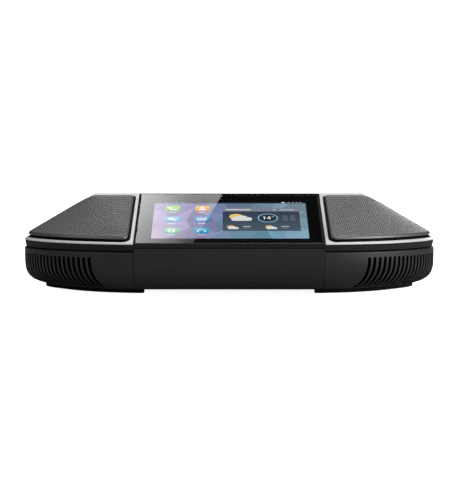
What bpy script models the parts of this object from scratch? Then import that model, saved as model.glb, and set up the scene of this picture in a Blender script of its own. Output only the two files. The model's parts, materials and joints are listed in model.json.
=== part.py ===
"""Touchscreen conference phone for a meeting table.

Metres, +Z up. The front faces -Y, and the phone stands on its feet at Z = 0 with the origin under the centre of
its plan. The plan is one closed curve, flat at the front and the rear. A bowl-shaped lower shell hangs below it, and
a hipped roof rises from it to a ridge that runs left to right. The middle of the roof's front slope is the touchscreen,
and a loudspeaker grille lies on each side of the screen.
"""

import math

import bmesh
import bpy
from mathutils import Matrix, Vector

MM = 0.001

# Plan
DEPTH = 200 * MM
FRONT_Y = -DEPTH / 2
REAR_Y = DEPTH / 2
CREASE_X = 57 * MM  # half width of the flat front
CREASE_TURN = math.radians(8)  # how far the plan turns at each end of the flat front
FRONT_RADIUS = 90 * MM
CORNER_RADIUS = 62 * MM
CORNER_FROM = math.radians(63)  # where the front radius meets the corner radius
REAR_HALF = 45 * MM  # half width of the flat rear
ARC_STEPS = 9
CORNER_STEPS = 4
REAR_STEPS = 8

# Heights
FLOOR_Z = 2.3 * MM
BOWL_TOP_Z = 23.3 * MM
PARTING_Z = 25.7 * MM
UPPER_BASE_Z = 26.3 * MM
RIM_Z = 31.0 * MM
RIDGE_Z = 59.5 * MM
RIDGE_Y = FRONT_Y + 66.8 * MM
RIDGE_HALF = 85.6 * MM
ROOF_SLOPE = (RIDGE_Z - RIM_Z) / (RIDGE_Y - FRONT_Y)
TILT = math.atan(ROOF_SLOPE)
SLOPE_LENGTH = (RIDGE_Y - FRONT_Y) / math.cos(TILT)

# Walls and clearances
WALL = 2.2 * MM
ROOF_THICKNESS = 3.3 * MM
GAP = 0.3 * MM
THIN_GAP = 0.1 * MM
FAR = 60 * MM  # how far a cutter runs past what it cuts

# Bowl of the lower shell
BOWL_IN = 19 * MM  # how far the floor's edge lies inside the plan, at the front and the rear
SIDE_TUCK = 4.7 * MM  # how much further in it lies at the sides, where the bowl is also squarer
BOWL_SWEEPS = [math.radians(a) for a in (0, 20, 40, 58, 75, 90)]

# Vent slots of the lower shell
SLOT_COUNT = 20
SLOT_START = 28.4 * MM  # along the plan, from the crease to the first slot
SLOT_PITCH = 3.85 * MM
SLOT_WIDTH = 2.0 * MM
SLOT_TOP_Z = 22.6 * MM
SLOT_BOTTOM_Z = 3.7 * MM
SLOT_LEAN = math.radians(20)  # a slot's plane leans this far from square to the wall, towards the middle
SLOT_REACH = 24 * MM

# Roof panels on each side of the screen
TRIM_FRONT = 1.6 * MM
TRIM_INNER = 1.8 * MM
TRIM_BACK = 2.6 * MM
TRIM_THICKNESS = 0.9 * MM
GRILLE_GAP_FRONT = 0.9 * MM
GRILLE_GAP_INNER = 1.5 * MM
GRILLE_GAP_BACK = 0.8 * MM
RIDGE_RISE = 0.7 * MM  # how far the grille stands above the trim at the ridge
RIM_RISE = 2.8 * MM  # and at the rim
GRILLE_SHEET = 1.0 * MM
GRILLE_CORNER = 6 * MM
WING_END = (131.4 * MM, -18 * MM)  # where the grille's rear edge meets the rim
LEDGE = 4 * MM

# Screen, measured along the front slope (s), across it (x) and square to it (n)
GLASS_HALF = 55.9 * MM
GLASS_FROM = 0.8 * MM
GLASS_TO = SLOPE_LENGTH - 0.7 * MM
GLASS_THICKNESS = 1.2 * MM
POCKET_DEPTH = 1.9 * MM
LCD_HALF = 52.75 * MM
LCD_FROM = 3.2 * MM
LCD_LENGTH = 67.2 * MM
LCD_THICKNESS = 3.0 * MM

# Feet
FOOT_INSET = 19.5 * MM
FOOT_FLARE = 6.5 * MM  # how much nearer the edge a foot lies at the sides
FOOT_WIDTH = 8 * MM
FLARE_SPAN = math.radians(35)
FRONT_FOOT_START = 52 * MM
FRONT_FOOT_END = math.radians(95)
REAR_FOOT_FROM = math.radians(118)
REAR_FOOT_TO = math.radians(160)

# Loudspeakers
SPEAKER_X = 82 * MM
SPEAKER_Y = -45 * MM
SPEAKER_Z = 1.3 * MM  # where the loudspeakers' own heights start
ROUND_STEPS = 20

# Rear bay and circuit board
BAY_HALF = 40 * MM
BAY_FLOOR_Z = 4.6 * MM
BAY_BACK_Y = 85.6 * MM
BAY_WALL = 1.4 * MM
BOARD_HALF = 52 * MM
BOARD_FRONT_Y = 10 * MM
BOARD_REAR_Y = 85.2 * MM
BOARD_Z = 6.0 * MM
BOARD_THICKNESS = 1.6 * MM
BOARD_TOP_Z = BOARD_Z + BOARD_THICKNESS
JACK_FACE_Y = 88.2 * MM

# Screws
CASE_SCREWS = [(48 * MM, -24 * MM), (94 * MM, 14 * MM), (58 * MM, 70 * MM)]
BOARD_SCREWS = [(48 * MM, 15 * MM), (48 * MM, 78 * MM)]
BOSS_TOP_Z = 8 * MM
SCREW_STEPS = 12

# Microphones: one behind the front, and one on each side towards the rear
MICROPHONES = {
    "front": (0.0, -74 * MM),
    "left": (-92 * MM, 30 * MM),
    "right": (92 * MM, 30 * MM),
}

# name: (colour, roughness, metallic)
FINISHES = {
    "shell_black": ((0.012, 0.013, 0.013), 0.42, 0.0),
    "fascia_black": ((0.009, 0.010, 0.010), 0.38, 0.0),
    "trim_silver": ((0.50, 0.50, 0.51), 0.30, 0.9),
    "grille_grey": ((0.10, 0.10, 0.105), 0.45, 0.6),
    "cloth_black": ((0.004, 0.004, 0.004), 0.95, 0.0),
    "glass_black": ((0.004, 0.004, 0.005), 0.03, 0.0),
    "display": ((0.16, 0.22, 0.36), 0.20, 0.0),
    "foam_black": ((0.010, 0.010, 0.010), 0.90, 0.0),
    "rubber_black": ((0.008, 0.008, 0.008), 0.80, 0.0),
    "steel": ((0.45, 0.45, 0.46), 0.35, 1.0),
    "board_green": ((0.010, 0.075, 0.030), 0.45, 0.0),
    "jack_black": ((0.010, 0.010, 0.010), 0.50, 0.0),
    "ferrite": ((0.045, 0.045, 0.048), 0.60, 0.3),
    "cone_black": ((0.014, 0.014, 0.015), 0.85, 0.0),
    "cable_amber": ((0.22, 0.09, 0.02), 0.45, 0.0),
}


# ---------------------------------------------------------------- helpers


def clear_scene():
    for obj in list(bpy.data.objects):
        bpy.data.objects.remove(obj)


def finish(name):
    found = bpy.data.materials.get(name)
    if found:
        return found
    colour, roughness, metallic = FINISHES[name]
    made = bpy.data.materials.new(name)
    made.use_nodes = True
    shader = made.node_tree.nodes["Principled BSDF"]
    shader.inputs["Base Color"].default_value = (*colour, 1.0)
    shader.inputs["Roughness"].default_value = roughness
    shader.inputs["Metallic"].default_value = metallic
    return made


def made_object(name, mesh_data, location=(0, 0, 0)):
    """An object from a bmesh, with its faces turned outwards."""
    bmesh.ops.recalc_face_normals(mesh_data, faces=mesh_data.faces)
    mesh = bpy.data.meshes.new(name)
    mesh_data.to_mesh(mesh)
    mesh_data.free()
    obj = bpy.data.objects.new(name, mesh)
    obj.location = location
    bpy.context.scene.collection.objects.link(obj)
    bpy.context.view_layer.update()
    return obj


def painted(obj, finish_name, smooth_angle=math.radians(30)):
    obj.data.materials.clear()
    obj.data.materials.append(finish(finish_name))
    obj.data.shade_smooth()
    obj.data.set_sharp_from_angle(angle=smooth_angle)
    return obj


def boolean(target, tool, operation="DIFFERENCE"):
    """Applies tool to target, and removes tool."""
    modifier = target.modifiers.new(operation, "BOOLEAN")
    modifier.operation = operation
    modifier.object = tool
    graph = bpy.context.evaluated_depsgraph_get()
    mesh = bpy.data.meshes.new_from_object(target.evaluated_get(graph))
    target.modifiers.clear()
    target.data = mesh
    bpy.data.objects.remove(tool)
    bpy.context.view_layer.update()
    return target


def mirrored(obj, name):
    """A copy of obj on the other side of the plane X = 0."""
    mesh = obj.data.copy()
    mesh.transform(Matrix.Diagonal((-1, 1, 1, 1)))
    mesh.flip_normals()
    copy = bpy.data.objects.new(name, mesh)
    x, y, z = obj.location
    copy.location = (-x, y, z)
    bpy.context.scene.collection.objects.link(copy)
    return copy


def box(name, x, y, z):
    """A box from (low, high) pairs."""
    mesh = bmesh.new()
    size = Vector((x[1] - x[0], y[1] - y[0], z[1] - z[0]))
    centre = Vector((x[0] + x[1], y[0] + y[1], z[0] + z[1])) / 2
    place = Matrix.Translation(centre) @ Matrix.Diagonal((*size, 1))
    bmesh.ops.create_cube(mesh, size=1, matrix=place)
    return made_object(name, mesh)


def slope_box(name, x, s, n):
    """A box on the front slope: s runs up the slope from the rim, n stands square to it."""
    mesh = bmesh.new()
    size = Vector((x[1] - x[0], s[1] - s[0], n[1] - n[0]))
    centre = Vector((x[0] + x[1], s[0] + s[1], n[0] + n[1])) / 2
    to_slope = Matrix.Translation((0, FRONT_Y, RIM_Z)) @ Matrix.Rotation(TILT, 4, "X")
    place = to_slope @ Matrix.Translation(centre) @ Matrix.Diagonal((*size, 1))
    bmesh.ops.create_cube(mesh, size=1, matrix=place)
    return made_object(name, mesh)


def cylinder(name, radius, z, x=0.0, y=0.0, steps=SCREW_STEPS):
    mesh = bmesh.new()
    place = Matrix.Translation((x, y, (z[0] + z[1]) / 2))
    bmesh.ops.create_cone(
        mesh,
        cap_ends=True,
        segments=steps,
        radius1=radius,
        radius2=radius,
        depth=z[1] - z[0],
        matrix=place,
    )
    return made_object(name, mesh)


def prism(name, points, z):
    """A plan outline, carried up from z[0] to z[1]."""
    mesh = bmesh.new()
    base = mesh.faces.new([mesh.verts.new((x, y, z[0])) for x, y in points])
    lifted = bmesh.ops.extrude_face_region(mesh, geom=[base])["geom"]
    top = [v for v in lifted if isinstance(v, bmesh.types.BMVert)]
    bmesh.ops.translate(mesh, verts=top, vec=(0, 0, z[1] - z[0]))
    return made_object(name, mesh)


def side_prism(name, points, x):
    """An outline of (y, z) points, carried across from x[0] to x[1]."""
    mesh = bmesh.new()
    base = mesh.faces.new([mesh.verts.new((x[0], y, z)) for y, z in points])
    moved = bmesh.ops.extrude_face_region(mesh, geom=[base])["geom"]
    far = [v for v in moved if isinstance(v, bmesh.types.BMVert)]
    bmesh.ops.translate(mesh, verts=far, vec=(x[1] - x[0], 0, 0))
    return made_object(name, mesh)


def loft(name, rings, closed=False):
    """Rings of equal length joined in turn, with the first and last capped, or joined to each other if closed."""
    mesh = bmesh.new()
    rows = [[mesh.verts.new(point) for point in ring] for ring in rings]
    pairs = list(zip(rows, rows[1:]))
    if closed:
        pairs.append((rows[-1], rows[0]))
    else:
        mesh.faces.new(rows[0])
        mesh.faces.new(rows[-1])
    for low, high in pairs:
        for i in range(len(low)):
            j = (i + 1) % len(low)
            mesh.faces.new((low[i], low[j], high[j], high[i]))
    return made_object(name, mesh)


def turned(name, profile, location=(0, 0, 0), closed=False, steps=ROUND_STEPS):
    """A profile of (radius, z) points spun about Z. An open profile starts and ends on the axis."""
    mesh = bmesh.new()
    verts = [mesh.verts.new((r, 0, z)) for r, z in profile]
    edges = [mesh.edges.new(pair) for pair in zip(verts, verts[1:])]
    if closed:
        edges.append(mesh.edges.new((verts[-1], verts[0])))
    bmesh.ops.spin(
        mesh,
        geom=verts + edges,
        axis=(0, 0, 1),
        cent=(0, 0, 0),
        steps=steps,
        angle=2 * math.pi,
        use_merge=True,
    )
    bmesh.ops.remove_doubles(mesh, verts=mesh.verts, dist=1e-6)
    return made_object(name, mesh, location)


# ---------------------------------------------------------------- plan


def trace_half_plan():
    """The right half of the plan, from the front crease to the rear corner.

    Each entry is x, y, the outward direction as a turn from -Y towards +X, and the mitre that an inset takes there.
    """
    half_turn = CREASE_TURN / 2
    points = [(CREASE_X, FRONT_Y, half_turn, 1 / math.cos(half_turn))]
    for step in range(1, ARC_STEPS + 1):
        turn = CREASE_TURN + (CORNER_FROM - CREASE_TURN) * step / ARC_STEPS
        x = CREASE_X + FRONT_RADIUS * (math.sin(turn) - math.sin(CREASE_TURN))
        y = FRONT_Y + FRONT_RADIUS * (math.cos(CREASE_TURN) - math.cos(turn))
        points.append((x, y, turn, 1.0))
    corner_x, corner_y = points[-1][:2]
    for step in range(1, CORNER_STEPS + 1):
        turn = CORNER_FROM + (math.pi / 2 - CORNER_FROM) * step / CORNER_STEPS
        x = corner_x + CORNER_RADIUS * (math.sin(turn) - math.sin(CORNER_FROM))
        y = corner_y + CORNER_RADIUS * (math.cos(CORNER_FROM) - math.cos(turn))
        points.append((x, y, turn, 1.0))
    side_x, side_y = points[-1][:2]
    across, along = side_x - REAR_HALF, REAR_Y - side_y
    for step in range(1, REAR_STEPS + 1):
        angle = math.pi / 2 * step / REAR_STEPS
        x = REAR_HALF + across * math.cos(angle)
        y = side_y + along * math.sin(angle)
        turn = math.atan2(math.cos(angle) / across, -math.sin(angle) / along)
        points.append((x, y, turn, 1.0))
    return points


HALF_PLAN = trace_half_plan()


def half_ring(inset_at):
    """The half plan moved inwards by inset_at(turn)."""
    ring = []
    for x, y, turn, mitre in HALF_PLAN:
        inset = inset_at(turn) * mitre
        ring.append((x - math.sin(turn) * inset, y + math.cos(turn) * inset))
    return ring


def plan_loop(inset=0.0):
    """The whole plan, anticlockwise from the right end of the flat front."""
    right = half_ring(lambda turn: inset)
    return right + [(-x, y) for x, y in reversed(right)]


def ring_at(inset, z):
    return [(x, y, z) for x, y in plan_loop(inset)]


def bowl_ring(sweep, wall=0.0):
    """One level of the bowl: sweep is 0 where the wall is upright and 90 degrees at the floor."""
    z = BOWL_TOP_Z - (BOWL_TOP_Z - FLOOR_Z) * math.sin(sweep) + wall * math.sin(sweep)

    def inset_at(turn):
        side = math.sin(turn) ** 2
        reach = BOWL_IN + SIDE_TUCK * side
        return reach * (1 - math.cos(sweep)) ** (1 + side) + wall * math.cos(sweep)

    right = half_ring(inset_at)
    return [(x, y, z) for x, y in right + [(-x, y) for x, y in reversed(right)]]


def bowl_solid(name, inset, top_z):
    rings = [bowl_ring(sweep, inset) for sweep in reversed(BOWL_SWEEPS)]
    return loft(name, rings + [ring_at(inset, top_z)])


def point_along_plan(distance):
    """Place and outward turn at a distance along the front and corner arcs, from the crease."""
    front_length = FRONT_RADIUS * (CORNER_FROM - CREASE_TURN)
    if distance < front_length:
        turn = CREASE_TURN + distance / FRONT_RADIUS
        radius, from_turn, start = FRONT_RADIUS, CREASE_TURN, HALF_PLAN[0]
    else:
        turn = CORNER_FROM + (distance - front_length) / CORNER_RADIUS
        radius, from_turn, start = CORNER_RADIUS, CORNER_FROM, HALF_PLAN[ARC_STEPS]
    x = start[0] + radius * (math.sin(turn) - math.sin(from_turn))
    y = start[1] + radius * (math.cos(from_turn) - math.cos(turn))
    return x, y, turn


# ---------------------------------------------------------------- roof


def roof_solid(name, drop=0.0, grow=0.0, base_z=0.0, rim_drop=None):
    """All that lies under the roof, with the plan grown by grow and the roof lowered by drop, or at its rim by rim_drop."""
    right = half_ring(lambda turn: -grow)
    rim_z = RIM_Z - (drop if rim_drop is None else rim_drop) - grow * ROOF_SLOPE
    mesh = bmesh.new()

    def corners(z):
        rights = [mesh.verts.new((x, y, z)) for x, y in right]
        lefts = [mesh.verts.new((-x, y, z)) for x, y in right]
        return rights, lefts

    (base_r, base_l), (rim_r, rim_l) = corners(base_z), corners(rim_z)
    peak_r = mesh.verts.new((RIDGE_HALF, RIDGE_Y, RIDGE_Z - drop))
    peak_l = mesh.verts.new((-RIDGE_HALF, RIDGE_Y, RIDGE_Z - drop))
    for base, rim, peak in ((base_r, rim_r, peak_r), (base_l, rim_l, peak_l)):
        for i in range(len(right) - 1):
            mesh.faces.new((base[i], base[i + 1], rim[i + 1], rim[i]))
            mesh.faces.new((rim[i], rim[i + 1], peak))
    mesh.faces.new((rim_l[0], rim_r[0], peak_r, peak_l))
    mesh.faces.new((rim_r[-1], rim_l[-1], peak_l, peak_r))
    mesh.faces.new((base_l[0], base_r[0], rim_r[0], rim_l[0]))
    mesh.faces.new((base_r[-1], base_l[-1], rim_l[-1], rim_r[-1]))
    mesh.faces.new(base_r + base_l[::-1])
    return made_object(name, mesh)


def clip(polygon, point, inward):
    """The part of a convex polygon on the inward side of a line through point."""
    kept = []
    for i, a in enumerate(polygon):
        b = polygon[(i + 1) % len(polygon)]
        side_a = (a[0] - point[0]) * inward[0] + (a[1] - point[1]) * inward[1]
        side_b = (b[0] - point[0]) * inward[0] + (b[1] - point[1]) * inward[1]
        if side_a >= 0:
            kept.append(a)
        if side_a * side_b < 0:
            t = side_a / (side_a - side_b)
            kept.append((a[0] + (b[0] - a[0]) * t, a[1] + (b[1] - a[1]) * t))
    return kept


def round_corners(polygon, radius, least_turn=math.radians(25), steps=4):
    """An anticlockwise polygon whose sharp outer corners are arcs."""
    rounded = []
    for i, corner in enumerate(polygon):
        here = Vector(corner)
        before = here - Vector(polygon[i - 1])
        after = Vector(polygon[(i + 1) % len(polygon)]) - here
        turn = before.angle(after)
        if turn < least_turn or not radius or before.cross(after) < 0:
            rounded.append(corner)
            continue
        room = 0.45 * min(before.length, after.length)
        tangent = min(radius * math.tan(turn / 2), room)
        bend = tangent / math.tan(turn / 2)
        before.normalize()
        start = here - before * tangent
        centre = start + Vector((-before.y, before.x)) * bend
        for step in range(steps + 1):
            spoke = Vector((before.y, -before.x)) * bend
            spoke.rotate(Matrix.Rotation(turn * step / steps, 2))
            rounded.append(tuple(centre + spoke))
    return rounded


def wing_outline(front, inner, back, corner=0.0):
    """Plan of the right-hand grille area, with its front, inner and back edges moved in by these distances."""
    ridge_end = Vector((RIDGE_HALF, RIDGE_Y))
    along = (Vector(WING_END) - ridge_end).normalized()
    forwards = Vector((along.y, -along.x))
    start = ridge_end + forwards * back
    inner_x = CREASE_X + inner
    back_y = RIDGE_Y - back
    bend = start + along * (back_y - start.y) / along.y
    polygon = clip(plan_loop(front), (inner_x, 0), (1, 0))
    polygon = clip(polygon, tuple(start), tuple(forwards))
    inner_edge = [p for p in polygon if abs(p[0] - inner_x) < 1e-7]
    cut = polygon.index(max(inner_edge, key=lambda p: p[1]))
    polygon[cut : cut + 1] = [tuple(bend), (inner_x, back_y)]
    return round_corners(polygon, corner)


# ---------------------------------------------------------------- casings


def slot_cutters():
    """All the vent slots of both sides as one mesh of separate slabs."""
    mesh = bmesh.new()
    height = SLOT_TOP_Z - SLOT_BOTTOM_Z
    for i in range(SLOT_COUNT):
        x, y, turn = point_along_plan(SLOT_START + SLOT_PITCH * i)
        for side in (1, -1):
            heading = (turn + SLOT_LEAN) * side
            place = (
                Matrix.Translation((x * side, y, SLOT_BOTTOM_Z + height / 2))
                @ Matrix.Rotation(heading, 4, "Z")
                @ Matrix.Translation((0, SLOT_REACH / 2 - 3 * MM, 0))
                @ Matrix.Diagonal((SLOT_WIDTH, SLOT_REACH, height, 1))
            )
            bmesh.ops.create_cube(mesh, size=1, matrix=place)
    return made_object("slot_cutters", mesh)


def both_sides(places):
    return [(x * side, y) for x, y in places for side in (1, -1)]


def make_lower_shell():
    inner = [bowl_ring(sweep, WALL) for sweep in reversed(BOWL_SWEEPS)]
    outer = [bowl_ring(sweep) for sweep in BOWL_SWEEPS]
    top = [ring_at(WALL, PARTING_Z), ring_at(0, PARTING_Z)]
    shell = loft("lower_shell", inner + top + outer)
    for x, y in both_sides(CASE_SCREWS):
        boss_z = (FLOOR_Z + THIN_GAP, BOSS_TOP_Z)
        boolean(shell, cylinder("boss", 4.5 * MM, boss_z, x, y), "UNION")
        boolean(shell, cylinder("sink", 3.1 * MM, (0, 5.4 * MM), x, y))
        boolean(shell, cylinder("hole", 1.7 * MM, (5 * MM, 9 * MM), x, y))
    for x, y in both_sides(BOARD_SCREWS):
        post_z = (FLOOR_Z + THIN_GAP, BOARD_Z - THIN_GAP)
        boolean(shell, cylinder("post", 3 * MM, post_z, x, y), "UNION")
        boolean(shell, cylinder("hole", 1.2 * MM, (3.4 * MM, 7 * MM), x, y))
    boolean(shell, slot_cutters())
    notch_y = (FRONT_Y - FAR, FRONT_Y + BOWL_IN + 1.3 * MM)
    notch_x = (-CREASE_X, CREASE_X)
    boolean(shell, box("notch", notch_x, notch_y, (0, FAR)))
    bay_x = (-BAY_HALF, BAY_HALF)
    boolean(shell, box("bay", bay_x, (80 * MM, REAR_Y + FAR), (BAY_FLOOR_Z, FAR)))
    return painted(shell, "shell_black")


def make_front_fascia():
    """The flat plate between the two creases, bent under like the bowl beside it."""
    top_z = UPPER_BASE_Z + 1.7 * MM
    outer, inner = [(FRONT_Y, top_z)], [(FRONT_Y + WALL, top_z)]
    for sweep in BOWL_SWEEPS:
        depth, drop = 1 - math.cos(sweep), math.sin(sweep)
        y = FRONT_Y + BOWL_IN * depth
        z = BOWL_TOP_Z - (BOWL_TOP_Z - FLOOR_Z) * drop
        outer.append((y, z))
        inner.append((y + WALL * math.cos(sweep), z + WALL * drop))
    lip_y = FRONT_Y + BOWL_IN + 1.0 * MM
    outer.append((lip_y, FLOOR_Z))
    inner.append((lip_y, FLOOR_Z + WALL))
    half = CREASE_X - 0.15 * MM
    return painted(
        side_prism("front_fascia", outer + inner[::-1], (-half, half)), "fascia_black"
    )


def make_tongue():
    """A lip inside the parting line that keeps the two shells in register."""
    sections = (
        (4.0, -2.0),
        (2.5, -2.0),
        (2.5, 0.8),
        (1.5, 0.8),
        (1.5, 3.1),
        (4.0, 3.1),
    )
    rings = [ring_at(inset * MM, PARTING_Z + rise * MM) for inset, rise in sections]
    return loft("tongue", rings, closed=True)


def wing_cutter(name, region, drop):
    """The space above the lowered roof within a plan region."""
    cutter = prism(name, region, (10 * MM, RIDGE_Z + FAR))
    return boolean(cutter, roof_solid("under", drop, 0.5 * MM))


def make_upper_shell():
    shell = roof_solid("upper_shell", base_z=UPPER_BASE_Z)
    hollow = roof_solid("hollow", ROOF_THICKNESS, -WALL)
    boolean(shell, hollow)
    boolean(shell, make_tongue(), "UNION")
    for x, y in both_sides(CASE_SCREWS):
        post = cylinder("post", 3.6 * MM, (BOSS_TOP_Z + GAP, RIDGE_Z), x, y)
        boolean(post, roof_solid("limit", 1.0 * MM, -0.5 * MM), "INTERSECT")
        boolean(shell, post, "UNION")
        boolean(shell, cylinder("hole", 1.35 * MM, (5 * MM, 19 * MM), x, y))
    pocket = GLASS_HALF + GAP
    boolean(
        shell,
        slope_box(
            "pocket",
            (-pocket, pocket),
            (GLASS_FROM - 0.2 * MM, GLASS_TO + 0.2 * MM),
            (-POCKET_DEPTH, FAR),
        ),
    )
    window = LCD_HALF + 0.5 * MM
    window_s = (LCD_FROM - 0.5 * MM, LCD_FROM + LCD_LENGTH + 0.5 * MM)
    boolean(
        shell, slope_box("window", (-window, window), window_s, (-9 * MM, 1 * MM))
    )
    rebate = wing_outline(-3 * MM, 0.1 * MM, 0.1 * MM)
    opening = wing_outline(
        TRIM_FRONT + LEDGE, TRIM_INNER + LEDGE, TRIM_BACK + LEDGE, GRILLE_CORNER
    )
    for flip in (1, -1):
        for name, region, z in (
            ("rebate", rebate, None),
            ("opening", opening, (RIM_Z - 1.7 * MM, FAR + RIDGE_Z)),
        ):
            points = [(x * flip, y) for x, y in region]
            if z is None:
                boolean(shell, wing_cutter(name, points, TRIM_THICKNESS + 0.2 * MM))
            else:
                boolean(shell, prism(name, points, z))
    seam_x, seam_y = (-CREASE_X, CREASE_X), (FRONT_Y - FAR, FRONT_Y + 3 * MM)
    boolean(shell, box("seam", seam_x, seam_y, (0, UPPER_BASE_Z + 2 * MM)))
    bay_x, bay_y = (-BAY_HALF - GAP, BAY_HALF + GAP), (90 * MM, REAR_Y + FAR)
    boolean(shell, box("bay", bay_x, bay_y, (0, PARTING_Z + 0.2 * MM)))
    return painted(shell, "shell_black")


def make_trims():
    trim = roof_solid("trim_right")
    region = wing_outline(-3 * MM, 0.3 * MM, 0.3 * MM)
    boolean(trim, prism("region", region, (0, FAR + RIDGE_Z)), "INTERSECT")
    inside = wing_outline(TRIM_FRONT, TRIM_INNER + 0.3 * MM, TRIM_BACK, GRILLE_CORNER)
    boolean(trim, prism("inside", inside, (0, FAR + RIDGE_Z)))
    boolean(trim, roof_solid("under", TRIM_THICKNESS, 0.5 * MM))
    painted(mirrored(trim, "trim_left"), "trim_silver")
    painted(trim, "trim_silver")


def grille_outline(inset):
    return wing_outline(
        TRIM_FRONT + GRILLE_GAP_FRONT + inset,
        TRIM_INNER + 0.3 * MM + GRILLE_GAP_INNER + inset,
        TRIM_BACK + GRILLE_GAP_BACK + inset,
        GRILLE_CORNER - GRILLE_GAP_FRONT - inset,
    )


def grille_roof(name, drop):
    """The grille's own surface, lowered by drop: it leaves the roof as it comes down to the rim."""
    return roof_solid(name, drop - RIDGE_RISE, rim_drop=drop - RIM_RISE)


def make_grilles():
    """Shallow pans: a sheet above the trim, with its edges turned down onto the upper shell's ledge."""
    grille = prism("grille_right", grille_outline(0), (0, FAR + RIDGE_Z))
    boolean(grille, grille_roof("top", 0.0), "INTERSECT")
    boolean(grille, roof_solid("under", TRIM_THICKNESS, 0.5 * MM))
    hollow = prism("hollow", grille_outline(1.1 * MM), (0, FAR + RIDGE_Z))
    boolean(hollow, grille_roof("sheet", GRILLE_SHEET), "INTERSECT")
    boolean(grille, hollow)
    painted(mirrored(grille, "grille_left"), "grille_grey")
    painted(grille, "grille_grey")

    cloth = prism("grille_cloth_right", grille_outline(1.4 * MM), (0, FAR + RIDGE_Z))
    boolean(cloth, grille_roof("top", GRILLE_SHEET + 0.2 * MM), "INTERSECT")
    boolean(cloth, grille_roof("under", GRILLE_SHEET + 0.6 * MM))
    painted(mirrored(cloth, "grille_cloth_left"), "cloth_black")
    painted(cloth, "cloth_black")


# ---------------------------------------------------------------- screen


def make_screen():
    glass_x = (-GLASS_HALF, GLASS_HALF)
    glass_s = (GLASS_FROM, GLASS_TO)
    glass = slope_box("touch_glass", glass_x, glass_s, (-GLASS_THICKNESS, 0))
    painted(glass, "glass_black")

    gasket_n = (-POCKET_DEPTH + THIN_GAP, -GLASS_THICKNESS - THIN_GAP)
    inner = LCD_HALF + 0.5 * MM
    gasket = slope_box(
        "glass_adhesive", (-55.6 * MM, 55.6 * MM), (1.1 * MM, GLASS_TO), gasket_n
    )
    hole_s = (LCD_FROM - 0.5 * MM, LCD_FROM + LCD_LENGTH + 0.3 * MM)
    boolean(gasket, slope_box("hole", (-inner, inner), hole_s, (-5 * MM, 5 * MM)))
    painted(gasket, "foam_black")

    top_n = -GLASS_THICKNESS - GAP
    lcd_s = (LCD_FROM, LCD_FROM + LCD_LENGTH)
    lcd_n = (top_n - LCD_THICKNESS, top_n)
    painted(
        slope_box("display_module", (-LCD_HALF, LCD_HALF), lcd_s, lcd_n), "display"
    )

    plate_n = (lcd_n[0] - GAP - 0.8 * MM, lcd_n[0] - GAP)
    bracket = slope_box("display_bracket", (-54 * MM, 54 * MM), lcd_s, plate_n)
    light_s = (18 * MM, 52 * MM)
    boolean(
        bracket, slope_box("hole", (-30 * MM, 30 * MM), light_s, (-20 * MM, 20 * MM))
    )
    painted(bracket, "steel")


def make_ribbon():
    """The flat cable from the underside of the display down to the circuit board."""
    start = Vector((FRONT_Y + 61.5 * MM, RIM_Z + 19.4 * MM))
    bend_a = Vector((FRONT_Y + 84 * MM, RIM_Z + 2 * MM))
    bend_b = Vector((BOARD_FRONT_Y - 14 * MM, BOARD_TOP_Z + 2 * MM))
    end = Vector((BOARD_FRONT_Y + 7 * MM, BOARD_TOP_Z + 0.5 * MM))
    half = 0.2 * MM
    above, below = [], []
    steps = 8
    for i in range(steps + 1):
        t = i / steps
        u = 1 - t
        here = (
            start * u**3
            + bend_a * 3 * u * u * t
            + bend_b * 3 * u * t * t
            + end * t**3
        )
        heading = (
            (bend_a - start) * u * u
            + (bend_b - bend_a) * 2 * u * t
            + (end - bend_b) * t * t
        ).normalized()
        across = Vector((-heading.y, heading.x)) * half
        above.append(tuple(here + across))
        below.append(tuple(here - across))
    ribbon = side_prism("display_ribbon", above + below[::-1], (-11 * MM, 11 * MM))
    painted(ribbon, "cable_amber")


# ---------------------------------------------------------------- loudspeakers


def turned_pair(name, profile, finish_name, closed=False):
    """The same turned piece under each grille."""
    points = [(r * MM, z * MM) for r, z in profile]
    for side, x in (("left", -SPEAKER_X), ("right", SPEAKER_X)):
        piece = turned(f"{name}_{side}", points, (x, SPEAKER_Y, SPEAKER_Z), closed)
        painted(piece, finish_name)


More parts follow.
